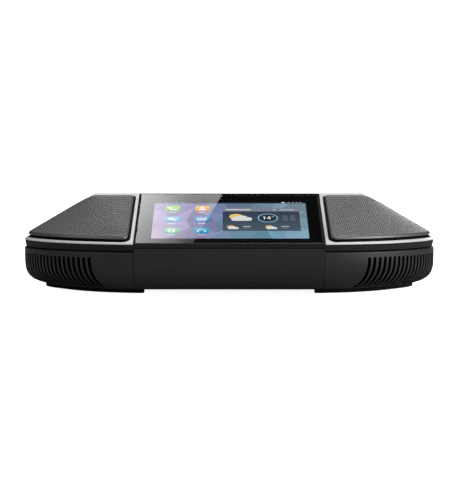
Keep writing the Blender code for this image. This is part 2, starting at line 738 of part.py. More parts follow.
def make_speakers():
    """Every profile is (radius, height) in millimetres about the loudspeaker's upright axis."""
    turned_pair(
        "speaker_box",
        [(0, 5.0), (19.5, 5.0), (30.2, 20), (30.2, 27.2), (28.6, 27.2), (28.6, 20.6)]
        + [(18.6, 6.6), (0, 6.6)],
        "shell_black",
    )
    turned_pair(
        "speaker_gasket",
        [(28.4, 27.5), (30.2, 27.5), (30.2, 28.2), (28.4, 28.2)],
        "foam_black",
        closed=True,
    )
    turned_pair(
        "speaker_basket",
        [(9.2, 16.0), (16.2, 16.0), (24.9, 19.6), (27.4, 28.5), (30.2, 28.5)]
        + [(30.2, 30.3), (26.4, 30.3), (23.9, 20.6), (16.0, 17.1), (9.2, 17.1)],
        "steel",
        closed=True,
    )
    turned_pair(
        "speaker_magnet",
        [(0, 7.4), (16, 7.4), (16, 15.7), (9.2, 15.7), (9.2, 9.6), (6.8, 9.6)]
        + [(6.8, 15.7), (0, 15.7)],
        "ferrite",
    )
    roll = [
        (24.2 + 2.4 * math.cos(a), 30.6 + 2.4 * math.sin(a))
        for a in (math.radians(d) for d in (0, 45, 90, 135, 180))
    ]
    under_roll = [
        (24.2 - 1.7 * math.cos(a), 30.6 + 1.7 * math.sin(a))
        for a in (math.radians(d) for d in (0, 45, 90, 135, 180))
    ]
    turned_pair(
        "speaker_surround",
        [(29.2, 30.6), (29.2, 31.2), (27.0, 31.2)] + roll + under_roll,
        "rubber_black",
        closed=True,
    )
    turned_pair(
        "speaker_cone",
        [(0, 25.6), (4.5, 24.8), (8.4, 22.6), (21.4, 31.0), (21.4, 30.1)]
        + [(8.9, 21.7), (8.4, 21.4), (8.4, 12.2), (7.6, 12.2), (7.6, 21.9)]
        + [(4.2, 24.0), (0, 24.8)],
        "cone_black",
    )


# ---------------------------------------------------------------- electronics


def make_port_bay():
    """A tray in the rear wall, open to the rear, whose back plate the sockets pass through."""
    half = BAY_HALF - GAP
    z = (BAY_FLOOR_Z + GAP, PARTING_Z - GAP)
    tray = box("port_panel", (-half, half), (BAY_BACK_Y, REAR_Y + FAR), z)
    boolean(tray, bowl_solid("limit", 0.2 * MM, PARTING_Z + FAR), "INTERSECT")
    hollow_x = (-half + BAY_WALL, half - BAY_WALL)
    hollow_y = (BAY_BACK_Y + BAY_WALL, REAR_Y + FAR)
    hollow_z = (z[0] + BAY_WALL, z[1] - BAY_WALL)
    boolean(tray, box("hollow", hollow_x, hollow_y, hollow_z))
    plate_y = (BAY_BACK_Y - 1 * MM, BAY_BACK_Y + 3 * MM)
    clear = 0.2 * MM
    for _, x, width, height in SOCKETS:
        side = width / 2 + clear
        top = BOARD_TOP_Z + THIN_GAP + height + clear
        hole_z = (BOARD_TOP_Z - clear, top)
        boolean(tray, box("hole", (x - side, x + side), plate_y, hole_z))
    boolean(tray, reset_hole("hole", 2.0 * MM, plate_y))
    painted(tray, "shell_black")


# name, x, width, height of each socket's body
SOCKETS = [
    ("power_jack", 30 * MM, 9 * MM, 11 * MM),
    ("ethernet_jack", 13 * MM, 16 * MM, 13.5 * MM),
    ("expansion_jack", -6 * MM, 16 * MM, 13.5 * MM),
    ("usb_port", -24 * MM, 14.5 * MM, 7.2 * MM),
]
RESET_X = -35 * MM
RESET_Z = BOARD_TOP_Z + 3.4 * MM


def reset_hole(name, radius, y):
    """A cylinder along Y on the reset button's axis."""
    mesh = bmesh.new()
    middle = (RESET_X, (y[0] + y[1]) / 2, RESET_Z)
    bmesh.ops.create_cone(
        mesh,
        cap_ends=True,
        segments=SCREW_STEPS,
        radius1=radius,
        radius2=radius,
        depth=y[1] - y[0],
        matrix=Matrix.Translation(middle) @ Matrix.Rotation(math.pi / 2, 4, "X"),
    )
    return made_object(name, mesh)


def socket_body(name, x, width, height, length):
    z = (BOARD_TOP_Z + THIN_GAP, BOARD_TOP_Z + THIN_GAP + height)
    y = (JACK_FACE_Y - length, JACK_FACE_Y)
    return box(name, (x - width / 2, x + width / 2), y, z)


def make_sockets():
    mouth = JACK_FACE_Y + 1 * MM
    low = BOARD_TOP_Z + THIN_GAP
    for name, x, width, height in SOCKETS:
        if name == "power_jack":
            jack = socket_body(name, x, width, height, 14 * MM)
            socket_z = low + 6 * MM
            for radius, depth, operation in (
                (3.2 * MM, 9.5 * MM, "DIFFERENCE"),
                (1.0 * MM, 10.5 * MM, "UNION"),
            ):
                front = mouth if operation == "DIFFERENCE" else JACK_FACE_Y - 1 * MM
                mesh = bmesh.new()
                bmesh.ops.create_cone(
                    mesh,
                    cap_ends=True,
                    segments=16,
                    radius1=radius,
                    radius2=radius,
                    depth=front - (JACK_FACE_Y - depth),
                    matrix=Matrix.Translation(
                        (x, (front + JACK_FACE_Y - depth) / 2, socket_z)
                    )
                    @ Matrix.Rotation(math.pi / 2, 4, "X"),
                )
                boolean(jack, made_object("round", mesh), operation)
            painted(jack, "jack_black")
        elif name == "usb_port":
            jack = socket_body(name, x, width, height, 14 * MM)
            inner_x = (x - 6.4 * MM, x + 6.4 * MM)
            inner_y = (JACK_FACE_Y - 10 * MM, mouth)
            boolean(
                jack, box("mouth", inner_x, inner_y, (low + 1 * MM, low + 6.2 * MM))
            )
            tongue_y = (JACK_FACE_Y - 11 * MM, JACK_FACE_Y - 1 * MM)
            tongue_x = (x - 5.6 * MM, x + 5.6 * MM)
            tongue = box("tongue", tongue_x, tongue_y, (low + 4 * MM, low + 5.6 * MM))
            boolean(jack, tongue, "UNION")
            painted(jack, "steel")
        else:
            jack = socket_body(name, x, width, height, 21 * MM)
            inner_y = (JACK_FACE_Y - 13 * MM, mouth)
            main = box(
                "mouth",
                (x - 5.9 * MM, x + 5.9 * MM),
                inner_y,
                (low + 4.2 * MM, low + 11.2 * MM),
            )
            boolean(jack, main)
            latch = box(
                "latch",
                (x - 3.1 * MM, x + 3.1 * MM),
                inner_y,
                (low + 1.8 * MM, low + 5 * MM),
            )
            boolean(jack, latch)
            painted(jack, "steel")


def make_board():
    z = (BOARD_Z, BOARD_TOP_Z)
    board = box(
        "main_board", (-BOARD_HALF, BOARD_HALF), (BOARD_FRONT_Y, BOARD_REAR_Y), z
    )
    for x, y in both_sides(BOARD_SCREWS):
        boolean(board, cylinder("hole", 1.5 * MM, (0, FAR), x, y))
    painted(board, "board_green")
    above = BOARD_TOP_Z + THIN_GAP
    shield_z = (above, above + 2.6 * MM)
    shield = box("processor_shield", (-15 * MM, 15 * MM), (30 * MM, 58 * MM), shield_z)
    painted(shield, "steel")
    transformer_z = (above, above + 10.5 * MM)
    transformer = box(
        "network_transformer", (26 * MM, 42 * MM), (44 * MM, 60 * MM), transformer_z
    )
    painted(transformer, "ferrite")


def make_reset():
    """A tact switch whose plunger is pressed with a pin through the rear panel."""
    low = BOARD_TOP_Z + THIN_GAP
    half = 3 * MM
    switch = box(
        "reset_switch",
        (RESET_X - half, RESET_X + half),
        (77 * MM, 82 * MM),
        (low, low + 6.4 * MM),
    )
    boolean(switch, reset_hole("well", 1.8 * MM, (79 * MM, 83 * MM)))
    painted(switch, "jack_black")
    length = 6.8 * MM
    mesh = bmesh.new()
    bmesh.ops.create_cone(
        mesh,
        cap_ends=True,
        segments=SCREW_STEPS,
        radius1=1.4 * MM,
        radius2=1.4 * MM,
        depth=length,
        matrix=Matrix.Rotation(math.pi / 2, 4, "X"),
    )
    place = (RESET_X, 80.2 * MM + length / 2, RESET_Z)
    painted(made_object("reset_button", mesh, place), "jack_black")


def make_microphones():
    for name, (x, y) in MICROPHONES.items():
        boot = [(0, 5.0), (7, 5.0), (7, 13.0), (5.2, 13.0), (5.2, 6.4), (0, 6.4)]
        capsule = [(0, 6.6), (4.85, 6.6), (4.85, 12.6), (0, 12.6)]
        for part, profile, finish_name in (
            ("microphone_boot", boot, "rubber_black"),
            ("microphone", capsule, "steel"),
        ):
            points = [(r * MM, z * MM) for r, z in profile]
            piece = turned(f"{part}_{name}", points, (x, y, 0), steps=16)
            painted(piece, finish_name)


def make_antennas():
    for side, sign in (("left", -1), ("right", 1)):
        x = sorted((58 * MM * sign, 88 * MM * sign))
        antenna = box(
            f"wifi_antenna_{side}", x, (58 * MM, 59 * MM), (6.2 * MM, 14 * MM)
        )
        painted(antenna, "board_green")


# ---------------------------------------------------------------- feet and screws


def foot_outline(points):
    """A strip along part of the plan: its outer edge there and its inner edge back."""
    outer, inner = [], []
    for x, y, turn in points:
        flare = max(0.0, 1 - abs(turn - math.pi / 2) / FLARE_SPAN)
        near = FOOT_INSET - FOOT_FLARE * flare
        for inset, edge in ((near, outer), (near + FOOT_WIDTH, inner)):
            edge.append((x - math.sin(turn) * inset, y + math.cos(turn) * inset))
    return outer + inner[::-1]


def make_feet():
    front = [(FRONT_FOOT_START, FRONT_Y, 0.0)]
    front += [p[:3] for p in HALF_PLAN if p[2] <= FRONT_FOOT_END]
    rear = [p[:3] for p in HALF_PLAN if REAR_FOOT_FROM <= p[2] <= REAR_FOOT_TO]
    for place, points in (("front", front), ("rear", rear)):
        foot = prism(f"foot_{place}_right", foot_outline(points), (0, 8 * MM))
        boolean(foot, bowl_solid("bowl", -THIN_GAP, PARTING_Z))
        painted(mirrored(foot, f"foot_{place}_left"), "rubber_black")
        painted(foot, "rubber_black")


def make_screws():
    """A screw stands with its head below its shank where it enters from underneath."""
    case = [(0, 3.2), (2.8, 3.2), (2.8, 5.1), (1.2, 5.1), (1.2, 16), (0, 17)]
    board = [(0, 3.7), (1.0, 4.3), (1.0, 7.8), (2.3, 7.8), (2.3, 9.2), (0, 9.2)]
    for name, places, profile in (
        ("case_screw", CASE_SCREWS, case),
        ("board_screw", BOARD_SCREWS, board),
    ):
        points = [(r * MM, z * MM) for r, z in profile]
        for i, (x, y) in enumerate(both_sides(places), start=1):
            screw = turned(f"{name}_{i}", points, (x, y, 0), steps=SCREW_STEPS)
            painted(screw, "steel")


def main():
    clear_scene()
    make_lower_shell()
    make_front_fascia()
    make_upper_shell()
    make_trims()
    make_grilles()
    make_screen()
    make_ribbon()
    make_speakers()
    make_port_bay()
    make_sockets()
    make_board()
    make_reset()
    make_microphones()
    make_antennas()
    make_feet()
    make_screws()


main()
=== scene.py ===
"""Looks for the touchscreen conference phone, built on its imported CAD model. Lengths are in metres."""

import json
import math
import random

import bmesh
import bpy
import numpy as np
from mathutils import Matrix, Vector


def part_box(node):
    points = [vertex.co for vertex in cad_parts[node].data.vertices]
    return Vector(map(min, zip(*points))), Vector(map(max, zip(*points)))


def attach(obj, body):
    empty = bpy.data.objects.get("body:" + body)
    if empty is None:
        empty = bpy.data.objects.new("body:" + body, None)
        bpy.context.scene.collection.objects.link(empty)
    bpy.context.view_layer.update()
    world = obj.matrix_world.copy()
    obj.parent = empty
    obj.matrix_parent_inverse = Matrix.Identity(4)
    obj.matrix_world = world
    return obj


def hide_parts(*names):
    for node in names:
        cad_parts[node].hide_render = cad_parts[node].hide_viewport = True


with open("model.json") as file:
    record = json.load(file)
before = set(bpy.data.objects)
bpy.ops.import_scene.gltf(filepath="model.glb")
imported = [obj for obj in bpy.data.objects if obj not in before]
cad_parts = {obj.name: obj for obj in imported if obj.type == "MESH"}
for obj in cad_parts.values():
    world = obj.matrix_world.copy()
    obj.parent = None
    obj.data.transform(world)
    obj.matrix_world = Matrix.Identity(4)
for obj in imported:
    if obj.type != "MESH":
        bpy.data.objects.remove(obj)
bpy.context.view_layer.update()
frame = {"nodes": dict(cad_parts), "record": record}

MM = 0.001
HOUSING = "housing"

# ---------------------------------------------------------------- shape of the casing, as in the CAD

FRONT_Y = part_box("lower_shell")[0].y
REAR_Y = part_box("lower_shell")[1].y
FLOOR_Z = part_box("lower_shell")[0].z
PARTING_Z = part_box("lower_shell")[1].z
UPPER_BASE_Z = PARTING_Z + 0.6 * MM
RIM_Z = 31.0 * MM
RIDGE_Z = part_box("upper_shell")[1].z
RIDGE_Y = FRONT_Y + 66.8 * MM
RIDGE_HALF = 85.6 * MM
SLOPE = (RIDGE_Z - RIM_Z) / (RIDGE_Y - FRONT_Y)
TILT = math.atan(SLOPE)
SLOPE_LENGTH = (RIDGE_Y - FRONT_Y) / math.cos(TILT)
REAR_SLOPE = (RIDGE_Z - RIM_Z) / (REAR_Y - RIDGE_Y)

CREASE_X = 57 * MM
CREASE_TURN = math.radians(8)
FRONT_RADIUS = 90 * MM
CORNER_RADIUS = 62 * MM
CORNER_FROM = math.radians(63)
REAR_HALF = 45 * MM
STEP = math.radians(0.94)

BOWL_TOP_Z = 23.3 * MM
BOWL_IN = 19 * MM
SIDE_TUCK = 4.7 * MM
WALL = 2.2 * MM
ROOF_THICKNESS = 3.3 * MM

SLOT_COUNT = 20
SLOT_START = 28.4 * MM
SLOT_PITCH = 3.85 * MM
SLOT_WIDTH = 2.0 * MM
SLOT_TOP_Z = 22.6 * MM
SLOT_BOTTOM_Z = 3.7 * MM
SLOT_LEAN = math.radians(20)

FOOT_INSET = 19.5 * MM
FOOT_FLARE = 6.5 * MM
FOOT_WIDTH = 8 * MM

TRIM_FRONT = 1.6 * MM
TRIM_INNER = 2.1 * MM
TRIM_BACK = 2.6 * MM
TRIM_THICKNESS = 0.9 * MM
TRIM_SHEET = 0.6 * MM
GRILLE_GAP_FRONT = 0.9 * MM
GRILLE_GAP_INNER = 1.5 * MM
GRILLE_GAP_BACK = 0.8 * MM
RIDGE_RISE = 0.7 * MM
RIM_RISE = 2.8 * MM
GRILLE_CORNER = 6 * MM
WING_END = Vector((131.4 * MM, -18 * MM))
LEDGE = 4 * MM
HOLE_PITCH = 1.25 * MM
HOLE_ROW = 2.5 * MM
HOLE_HALF_WIDTH = 0.40 * MM
HOLE_HALF_LENGTH = 0.88 * MM

GLASS_HALF = 55.9 * MM
GLASS_FROM = 0.8 * MM
GLASS_TO = SLOPE_LENGTH - 0.7 * MM
GLASS_THICKNESS = 1.2 * MM
PICTURE_HALF = 47.5 * MM
PICTURE_X = 0.5 * MM
PICTURE_FROM = 9.9 * MM
PICTURE_TO = 63.0 * MM
DRAWN_FROM = 7.3
DRAWN_TO = 61.0


def trace_half_plan():
    """Right half of the plan: x, y, outward turn from -Y towards +X, and the mitre an inset takes."""
    half_turn = CREASE_TURN / 2
    points = [(CREASE_X, FRONT_Y, half_turn, 1 / math.cos(half_turn))]
    steps = round((CORNER_FROM - CREASE_TURN) / STEP)
    for i in range(1, steps + 1):
        turn = CREASE_TURN + (CORNER_FROM - CREASE_TURN) * i / steps
        x = CREASE_X + FRONT_RADIUS * (math.sin(turn) - math.sin(CREASE_TURN))
        y = FRONT_Y + FRONT_RADIUS * (math.cos(CREASE_TURN) - math.cos(turn))
        points.append((x, y, turn, 1.0))
    corner_x, corner_y = points[-1][:2]
    steps = round((math.pi / 2 - CORNER_FROM) / STEP)
    for i in range(1, steps + 1):
        turn = CORNER_FROM + (math.pi / 2 - CORNER_FROM) * i / steps
        x = corner_x + CORNER_RADIUS * (math.sin(turn) - math.sin(CORNER_FROM))
        y = corner_y + CORNER_RADIUS * (math.cos(CORNER_FROM) - math.cos(turn))
        points.append((x, y, turn, 1.0))
    side_x, side_y = points[-1][:2]
    across, along = side_x - REAR_HALF, REAR_Y - side_y
    steps = 64
    for i in range(1, steps + 1):
        angle = math.pi / 2 * i / steps
        x = REAR_HALF + across * math.cos(angle)
        y = side_y + along * math.sin(angle)
        turn = math.atan2(math.cos(angle) / across, -math.sin(angle) / along)
        points.append((x, y, turn, 1.0))
    return points


HALF_PLAN = trace_half_plan()
ARC_END = round((CORNER_FROM - CREASE_TURN) / STEP)


def whole(right):
    return right + [(-x, *rest) for x, *rest in reversed(right)]


def half_ring(inset_at):
    ring = []
    for x, y, turn, mitre in HALF_PLAN:
        inset = inset_at(turn) * mitre
        ring.append((x - math.sin(turn) * inset, y + math.cos(turn) * inset))
    return ring


def plan_loop(inset=0.0):
    return whole(half_ring(lambda turn: inset))


def ring_at(inset, z):
    return [(x, y, z) for x, y in plan_loop(inset)]


def bowl_ring(sweep, wall=0.0):
    z = BOWL_TOP_Z - (BOWL_TOP_Z - FLOOR_Z - wall) * math.sin(sweep)

    def inset_at(turn):
        side = math.sin(turn) ** 2
        reach = BOWL_IN + SIDE_TUCK * side
        return reach * (1 - math.cos(sweep)) ** (1 + side) + wall * math.cos(sweep)

    return [(x, y, z) for x, y in whole(half_ring(inset_at))]


def point_along_plan(distance):
    front_length = FRONT_RADIUS * (CORNER_FROM - CREASE_TURN)
    if distance < front_length:
        turn = CREASE_TURN + distance / FRONT_RADIUS
        radius, from_turn, start = FRONT_RADIUS, CREASE_TURN, HALF_PLAN[0]
    else:
        turn = CORNER_FROM + (distance - front_length) / CORNER_RADIUS
        radius, from_turn, start = CORNER_RADIUS, CORNER_FROM, HALF_PLAN[ARC_END]
    x = start[0] + radius * (math.sin(turn) - math.sin(from_turn))
    y = start[1] + radius * (math.cos(from_turn) - math.cos(turn))
    return x, y, turn


FAN = np.array([p[:2] for p in HALF_PLAN]) - np.array((RIDGE_HALF, RIDGE_Y))
FAN_ANGLES = np.unwrap(np.arctan2(FAN[:, 1], FAN[:, 0]))
FAN_REACH = np.hypot(FAN[:, 0], FAN[:, 1])


def roof_height(x, y):
    """Height of the roof over (x, y)."""
    dx, dy = abs(x) - RIDGE_HALF, y - RIDGE_Y
    angle = math.atan2(dy, dx)
    if FAN_ANGLES[0] < angle < FAN_ANGLES[-1]:
        share = math.hypot(dx, dy) / np.interp(angle, FAN_ANGLES, FAN_REACH)
        return RIDGE_Z + (RIM_Z - RIDGE_Z) * share
    if dy < 0:
        return RIDGE_Z + dy * SLOPE
    return RIDGE_Z - dy * REAR_SLOPE


def grille_rise(x, y):
    """How far the grille stands above the roof over (x, y)."""
    share = (RIDGE_Z - roof_height(x, y)) / (RIDGE_Z - RIM_Z)
    return RIDGE_RISE + (RIM_RISE - RIDGE_RISE) * share


# ---------------------------------------------------------------- mesh helpers


def linked(name, mesh_data, location=(0, 0, 0)):
    bmesh.ops.recalc_face_normals(mesh_data, faces=mesh_data.faces)
    mesh = bpy.data.meshes.new(name)
    mesh_data.to_mesh(mesh)
    mesh_data.free()
    obj = bpy.data.objects.new(name, mesh)
    obj.location = location
    bpy.context.scene.collection.objects.link(obj)
    return obj


def applied(obj):
    graph = bpy.context.evaluated_depsgraph_get()
    mesh = bpy.data.meshes.new_from_object(obj.evaluated_get(graph))
    obj.modifiers.clear()
    obj.data = mesh
    bpy.context.view_layer.update()
    return obj


def boolean(target, tool, operation="DIFFERENCE", solver="MANIFOLD"):
    modifier = target.modifiers.new(operation, "BOOLEAN")
    modifier.operation = operation
    modifier.solver = solver
    modifier.object = tool
    bpy.context.view_layer.update()
    applied(target)
    bpy.data.objects.remove(tool)
    return target


def bevelled(obj, width, segments=2, angle=math.radians(30)):
    modifier = obj.modifiers.new("Bevel", "BEVEL")
    modifier.width = width
    modifier.segments = segments
    modifier.limit_method = "ANGLE"
    modifier.angle_limit = angle
    modifier.miter_outer = "MITER_ARC"
    bpy.context.view_layer.update()
    return applied(obj)


def mirrored(obj, name):
    mesh = obj.data.copy()
    mesh.transform(Matrix.Diagonal((-1, 1, 1, 1)))
    mesh.flip_normals()
    copy = bpy.data.objects.new(name, mesh)
    x, y, z = obj.location
    copy.location = (-x, y, z)
    bpy.context.scene.collection.objects.link(copy)
    return copy


def box(name, x, y, z):
    mesh = bmesh.new()
    size = Vector((x[1] - x[0], y[1] - y[0], z[1] - z[0]))
    centre = Vector((x[0] + x[1], y[0] + y[1], z[0] + z[1])) / 2
    place = Matrix.Translation(centre) @ Matrix.Diagonal((*size, 1))
    bmesh.ops.create_cube(mesh, size=1, matrix=place)
    return linked(name, mesh)


TO_SLOPE = Matrix.Translation((0, FRONT_Y, RIM_Z)) @ Matrix.Rotation(TILT, 4, "X")


def slope_box(name, x, s, n):
    """A box on the front slope: s runs up the slope from the rim, n stands square to it."""
    made = box(name, x, s, n)
    made.data.transform(TO_SLOPE)
    return made


def cylinder(name, radius, z, x=0.0, y=0.0, steps=32):
    mesh = bmesh.new()
    place = Matrix.Translation((x, y, (z[0] + z[1]) / 2))
    bmesh.ops.create_cone(
        mesh,
        cap_ends=True,
        segments=steps,
        radius1=radius,
        radius2=radius,
        depth=z[1] - z[0],
        matrix=place,
    )
    return linked(name, mesh)


def prism(name, points, z):
    mesh = bmesh.new()
    base = mesh.faces.new([mesh.verts.new((x, y, z[0])) for x, y in points])
    lifted = bmesh.ops.extrude_face_region(mesh, geom=[base])["geom"]
    top = [v for v in lifted if isinstance(v, bmesh.types.BMVert)]
    bmesh.ops.translate(mesh, verts=top, vec=(0, 0, z[1] - z[0]))
    return linked(name, mesh)


def loft(name, rings, closed=False, caps=True):
    mesh = bmesh.new()
    rows = [[mesh.verts.new(point) for point in ring] for ring in rings]
    pairs = list(zip(rows, rows[1:]))
    if closed:
        pairs.append((rows[-1], rows[0]))
    elif caps:
        mesh.faces.new(rows[0])
        mesh.faces.new(rows[-1])
    for low, high in pairs:
        for i in range(len(low)):
            j = (i + 1) % len(low)
            mesh.faces.new((low[i], low[j], high[j], high[i]))
    return linked(name, mesh)


def turned(name, profile, location=(0, 0, 0), steps=48):
    mesh = bmesh.new()
    verts = [mesh.verts.new((r * MM, 0, z * MM)) for r, z in profile]
    edges = [mesh.edges.new(pair) for pair in zip(verts, verts[1:])]
    bmesh.ops.spin(
        mesh,
        geom=verts + edges,
        axis=(0, 0, 1),
        cent=(0, 0, 0),
        steps=steps,
        angle=2 * math.pi,
        use_merge=True,
    )
    bmesh.ops.remove_doubles(mesh, verts=mesh.verts, dist=1e-6)
    return linked(name, mesh, location)


def shaded(obj, angle=30):
    obj.data.shade_smooth()
    obj.data.set_sharp_from_angle(angle=math.radians(angle))
    return obj


def dressed(obj, material, *stands_for, body=HOUSING, slot=None, angle=30, keep=False):
    """Gives a finished piece its material and shading, and seats it on its body."""
    if not keep:
        obj.data.materials.clear()
        obj.data.materials.append(material)
    shaded(obj, angle)
    level = obj.modifiers.new("Normals", "WEIGHTED_NORMAL")
    level.keep_sharp = True
    level.weight = 80
    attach(obj, body)
    if stands_for:
        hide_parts(*stands_for)
        slot = slot or SLOTS[stands_for[0]]
    return obj


SLOTS = {s["node"]: s["material_slot"] for s in frame["record"]["subparts"]}


# ---------------------------------------------------------------- materials


class Nodes:
    """A short way to write a node tree."""

    def __init__(self, name):
        self.material = bpy.data.materials.new(name)
        self.material.use_nodes = True
        self.tree = self.material.node_tree
        self.tree.nodes.clear()
        self.output = self.tree.nodes.new("ShaderNodeOutputMaterial")
        self.place = self.add("ShaderNodeTexCoord").outputs["Object"]

    def add(self, kind, **values):
        node = self.tree.nodes.new(kind)
        for key, value in values.items():
            if key in node.bl_rna.properties:
                setattr(node, key, value)
            else:
                self.put(node.inputs[key.replace("_", " ")], value)
        return node

    def put(self, socket, value):
        if isinstance(value, bpy.types.NodeSocket):
            self.tree.links.new(value, socket)
        else:
            socket.default_value = value

    def noise(self, scale, detail=2.0, roughness=0.5, vector=None):
        node = self.add(
            "ShaderNodeTexNoise", Scale=scale, Detail=detail, Roughness=roughness
        )
        self.put(node.inputs["Vector"], vector or self.place)
        return node.outputs["Fac"]

    def stretched(self, scale):
        node = self.add("ShaderNodeMapping", Scale=scale)
        self.put(node.inputs["Vector"], self.place)
        return node.outputs["Vector"]

    def ramp(self, value, low, high, from_low=0.3, from_high=0.7):
        node = self.add("ShaderNodeMapRange")
        self.put(node.inputs["Value"], value)
        self.put(node.inputs["From Min"], from_low)
        self.put(node.inputs["From Max"], from_high)
        self.put(node.inputs["To Min"], low)
        self.put(node.inputs["To Max"], high)
        return node.outputs["Result"]

    def mix(self, share, a, b):
        node = self.add("ShaderNodeMix", data_type="RGBA")
        self.put(node.inputs[0], share)
        self.put(node.inputs[6], a)
        self.put(node.inputs[7], b)
        return node.outputs[2]

    def maths(self, operation, a, b=0.5):
        node = self.add("ShaderNodeMath", operation=operation)
        self.put(node.inputs[0], a)
        self.put(node.inputs[1], b)
        return node.outputs[0]

    def bump(self, height, depth, strength=1.0, normal=None):
        node = self.add("ShaderNodeBump", Strength=strength, Distance=depth)
        self.put(node.inputs["Height"], height)
        if normal:
            self.put(node.inputs["Normal"], normal)
        return node.outputs["Normal"]

    def principled(self, **values):
        node = self.add("ShaderNodeBsdfPrincipled", **values)
        self.tree.links.new(node.outputs[0], self.output.inputs[0])
        return node


def rgba(r, g=None, b=None):
    return (r, r, r, 1.0) if g is None else (r, g, b, 1.0)


def scaled(colour, by):
    return tuple(c * by for c in colour[:3]) + (1.0,)


def moulded_plastic(
    name, colour, roughness, specular=0.35, grain=0.03 * MM, grain_scale=3200
):
    """Spark-eroded moulding: a fine grain, cloudy gloss and a trace of colour change."""
    n = Nodes(name)
    grain_noise = n.noise(grain_scale, 3.0, 0.6)
    cloud = n.noise(38, 4.0, 0.55)
    n.principled(
        Base_Color=n.mix(cloud, scaled(colour, 0.86), scaled(colour, 1.16)),
        Roughness=n.ramp(cloud, roughness - 0.02, roughness + 0.02),
        Specular_IOR_Level=specular,
        Normal=n.bump(grain_noise, grain, 0.55),
    )
    return n.material


def silver_paint(name, colour, roughness, metallic):
    """Satin metallic paint: small flakes that tip the light, over faint orange peel."""
    n = Nodes(name)
    flakes = n.add("ShaderNodeTexVoronoi", Scale=5200.0)
    n.put(flakes.inputs["Vector"], n.place)
    sparkle = n.ramp(flakes.outputs["Color"], 0.0, 1.0, 0.0, 1.0)
    peel = n.noise(700, 2.0)
    n.principled(
        Base_Color=n.mix(sparkle, scaled(colour, 0.88), scaled(colour, 1.12)),
        Metallic=metallic,
        Roughness=n.ramp(sparkle, roughness - 0.05, roughness + 0.05, 0, 1),
        Normal=n.bump(peel, 0.02 * MM, 0.3),
    )
    return n.material


def grille_paint(name, colour):
    n = Nodes(name)
    tone = n.noise(60, 3.0)
    speck = n.noise(5000, 2.0)
    n.principled(
        Base_Color=n.mix(tone, scaled(colour, 0.9), scaled(colour, 1.1)),
        Metallic=0.55,
        Roughness=n.ramp(speck, 0.36, 0.52),
        Normal=n.bump(speck, 0.02 * MM, 0.4),
    )
    return n.material


def rubber(name, colour):
    n = Nodes(name)
    grain = n.noise(1500, 6.0, 0.7)
    dust = n.noise(240, 4.0)
    n.principled(
        Base_Color=n.mix(
            n.ramp(dust, 0, 1, 0.45, 0.8), colour, scaled(colour, 1.9)
        ),
        Roughness=n.ramp(dust, 0.7, 0.88),
        Specular_IOR_Level=0.2,
        Normal=n.bump(grain, 0.05 * MM, 0.5),
    )
    return n.material


def woven_cloth(name, colour):
    """Open acoustic cloth: two crossing sets of threads."""
    n = Nodes(name)
    threads = []
    for direction in ("X", "Y"):
        wave = n.add("ShaderNodeTexWave", bands_direction=direction, Scale=900.0)
        n.put(wave.inputs["Vector"], n.place)
        threads.append(wave.outputs["Fac"])
    weave = n.maths("MULTIPLY", *threads)
    n.principled(
        Base_Color=n.mix(weave, scaled(colour, 0.4), scaled(colour, 1.8)),
        Roughness=0.95,
        Specular_IOR_Level=0.05,
        Normal=n.bump(weave, 0.1 * MM, 0.8),
    )
    return n.material


def foam(name, colour):
    n = Nodes(name)
    cells = n.add("ShaderNodeTexVoronoi", Scale=2200.0)
    n.put(cells.inputs["Vector"], n.place)
    n.principled(
        Base_Color=n.mix(
            cells.outputs["Distance"], scaled(colour, 1.4), scaled(colour, 0.6)
        ),
        Roughness=0.95,
        Specular_IOR_Level=0.1,
        Normal=n.bump(cells.outputs["Distance"], 0.08 * MM, 0.7),
    )
    return n.material


def plated_steel(name, colour, roughness=0.3, grain=(60, 2600, 60)):
    """Drawn or rolled steel with its grain along one axis, and patches of duller plating."""
    n = Nodes(name)
    drawn = n.noise(1.0, 5.0, 0.6, n.stretched(grain))
    patches = n.noise(90, 3.0)
    n.principled(
        Base_Color=n.mix(patches, scaled(colour, 0.85), scaled(colour, 1.1)),
        Metallic=1.0,
        Roughness=n.ramp(patches, roughness - 0.06, roughness + 0.1),
        Normal=n.bump(drawn, 0.01 * MM, 0.35),
    )
    return n.material


def circuit_board(name, colour):
    """Solder mask over copper: tracks show as lighter raised lines."""
    n = Nodes(name)
    tracks = n.add("ShaderNodeTexBrick", Scale=220.0, Mortar_Size=0.05)
    n.put(tracks.inputs["Vector"], n.place)
    glass_weave = n.noise(1400, 2.0)
    n.principled(
        Base_Color=n.mix(
            tracks.outputs["Fac"], colour, (colour[0] * 3, colour[1] * 1.7, 0.05, 1)
        ),
        Roughness=n.ramp(glass_weave, 0.3, 0.5),
        Normal=n.bump(tracks.outputs["Fac"], 0.03 * MM, 0.6),
    )
    return n.material


def sintered(name, colour):
    n = Nodes(name)
    speck = n.noise(1800, 8.0, 0.75)
    n.principled(
        Base_Color=n.mix(speck, scaled(colour, 0.6), scaled(colour, 1.5)),
        Metallic=0.2,
        Roughness=n.ramp(speck, 0.5, 0.75),
        Normal=n.bump(speck, 0.05 * MM, 0.5),
    )
    return n.material


def coated_paper(name, colour):
    n = Nodes(name)
    fibres = n.noise(1.0, 6.0, 0.7, n.stretched((400, 1900, 700)))
    n.principled(
        Base_Color=n.mix(fibres, scaled(colour, 0.6), scaled(colour, 1.7)),
        Roughness=0.85,
        Normal=n.bump(fibres, 0.06 * MM, 0.5),
    )
    return n.material


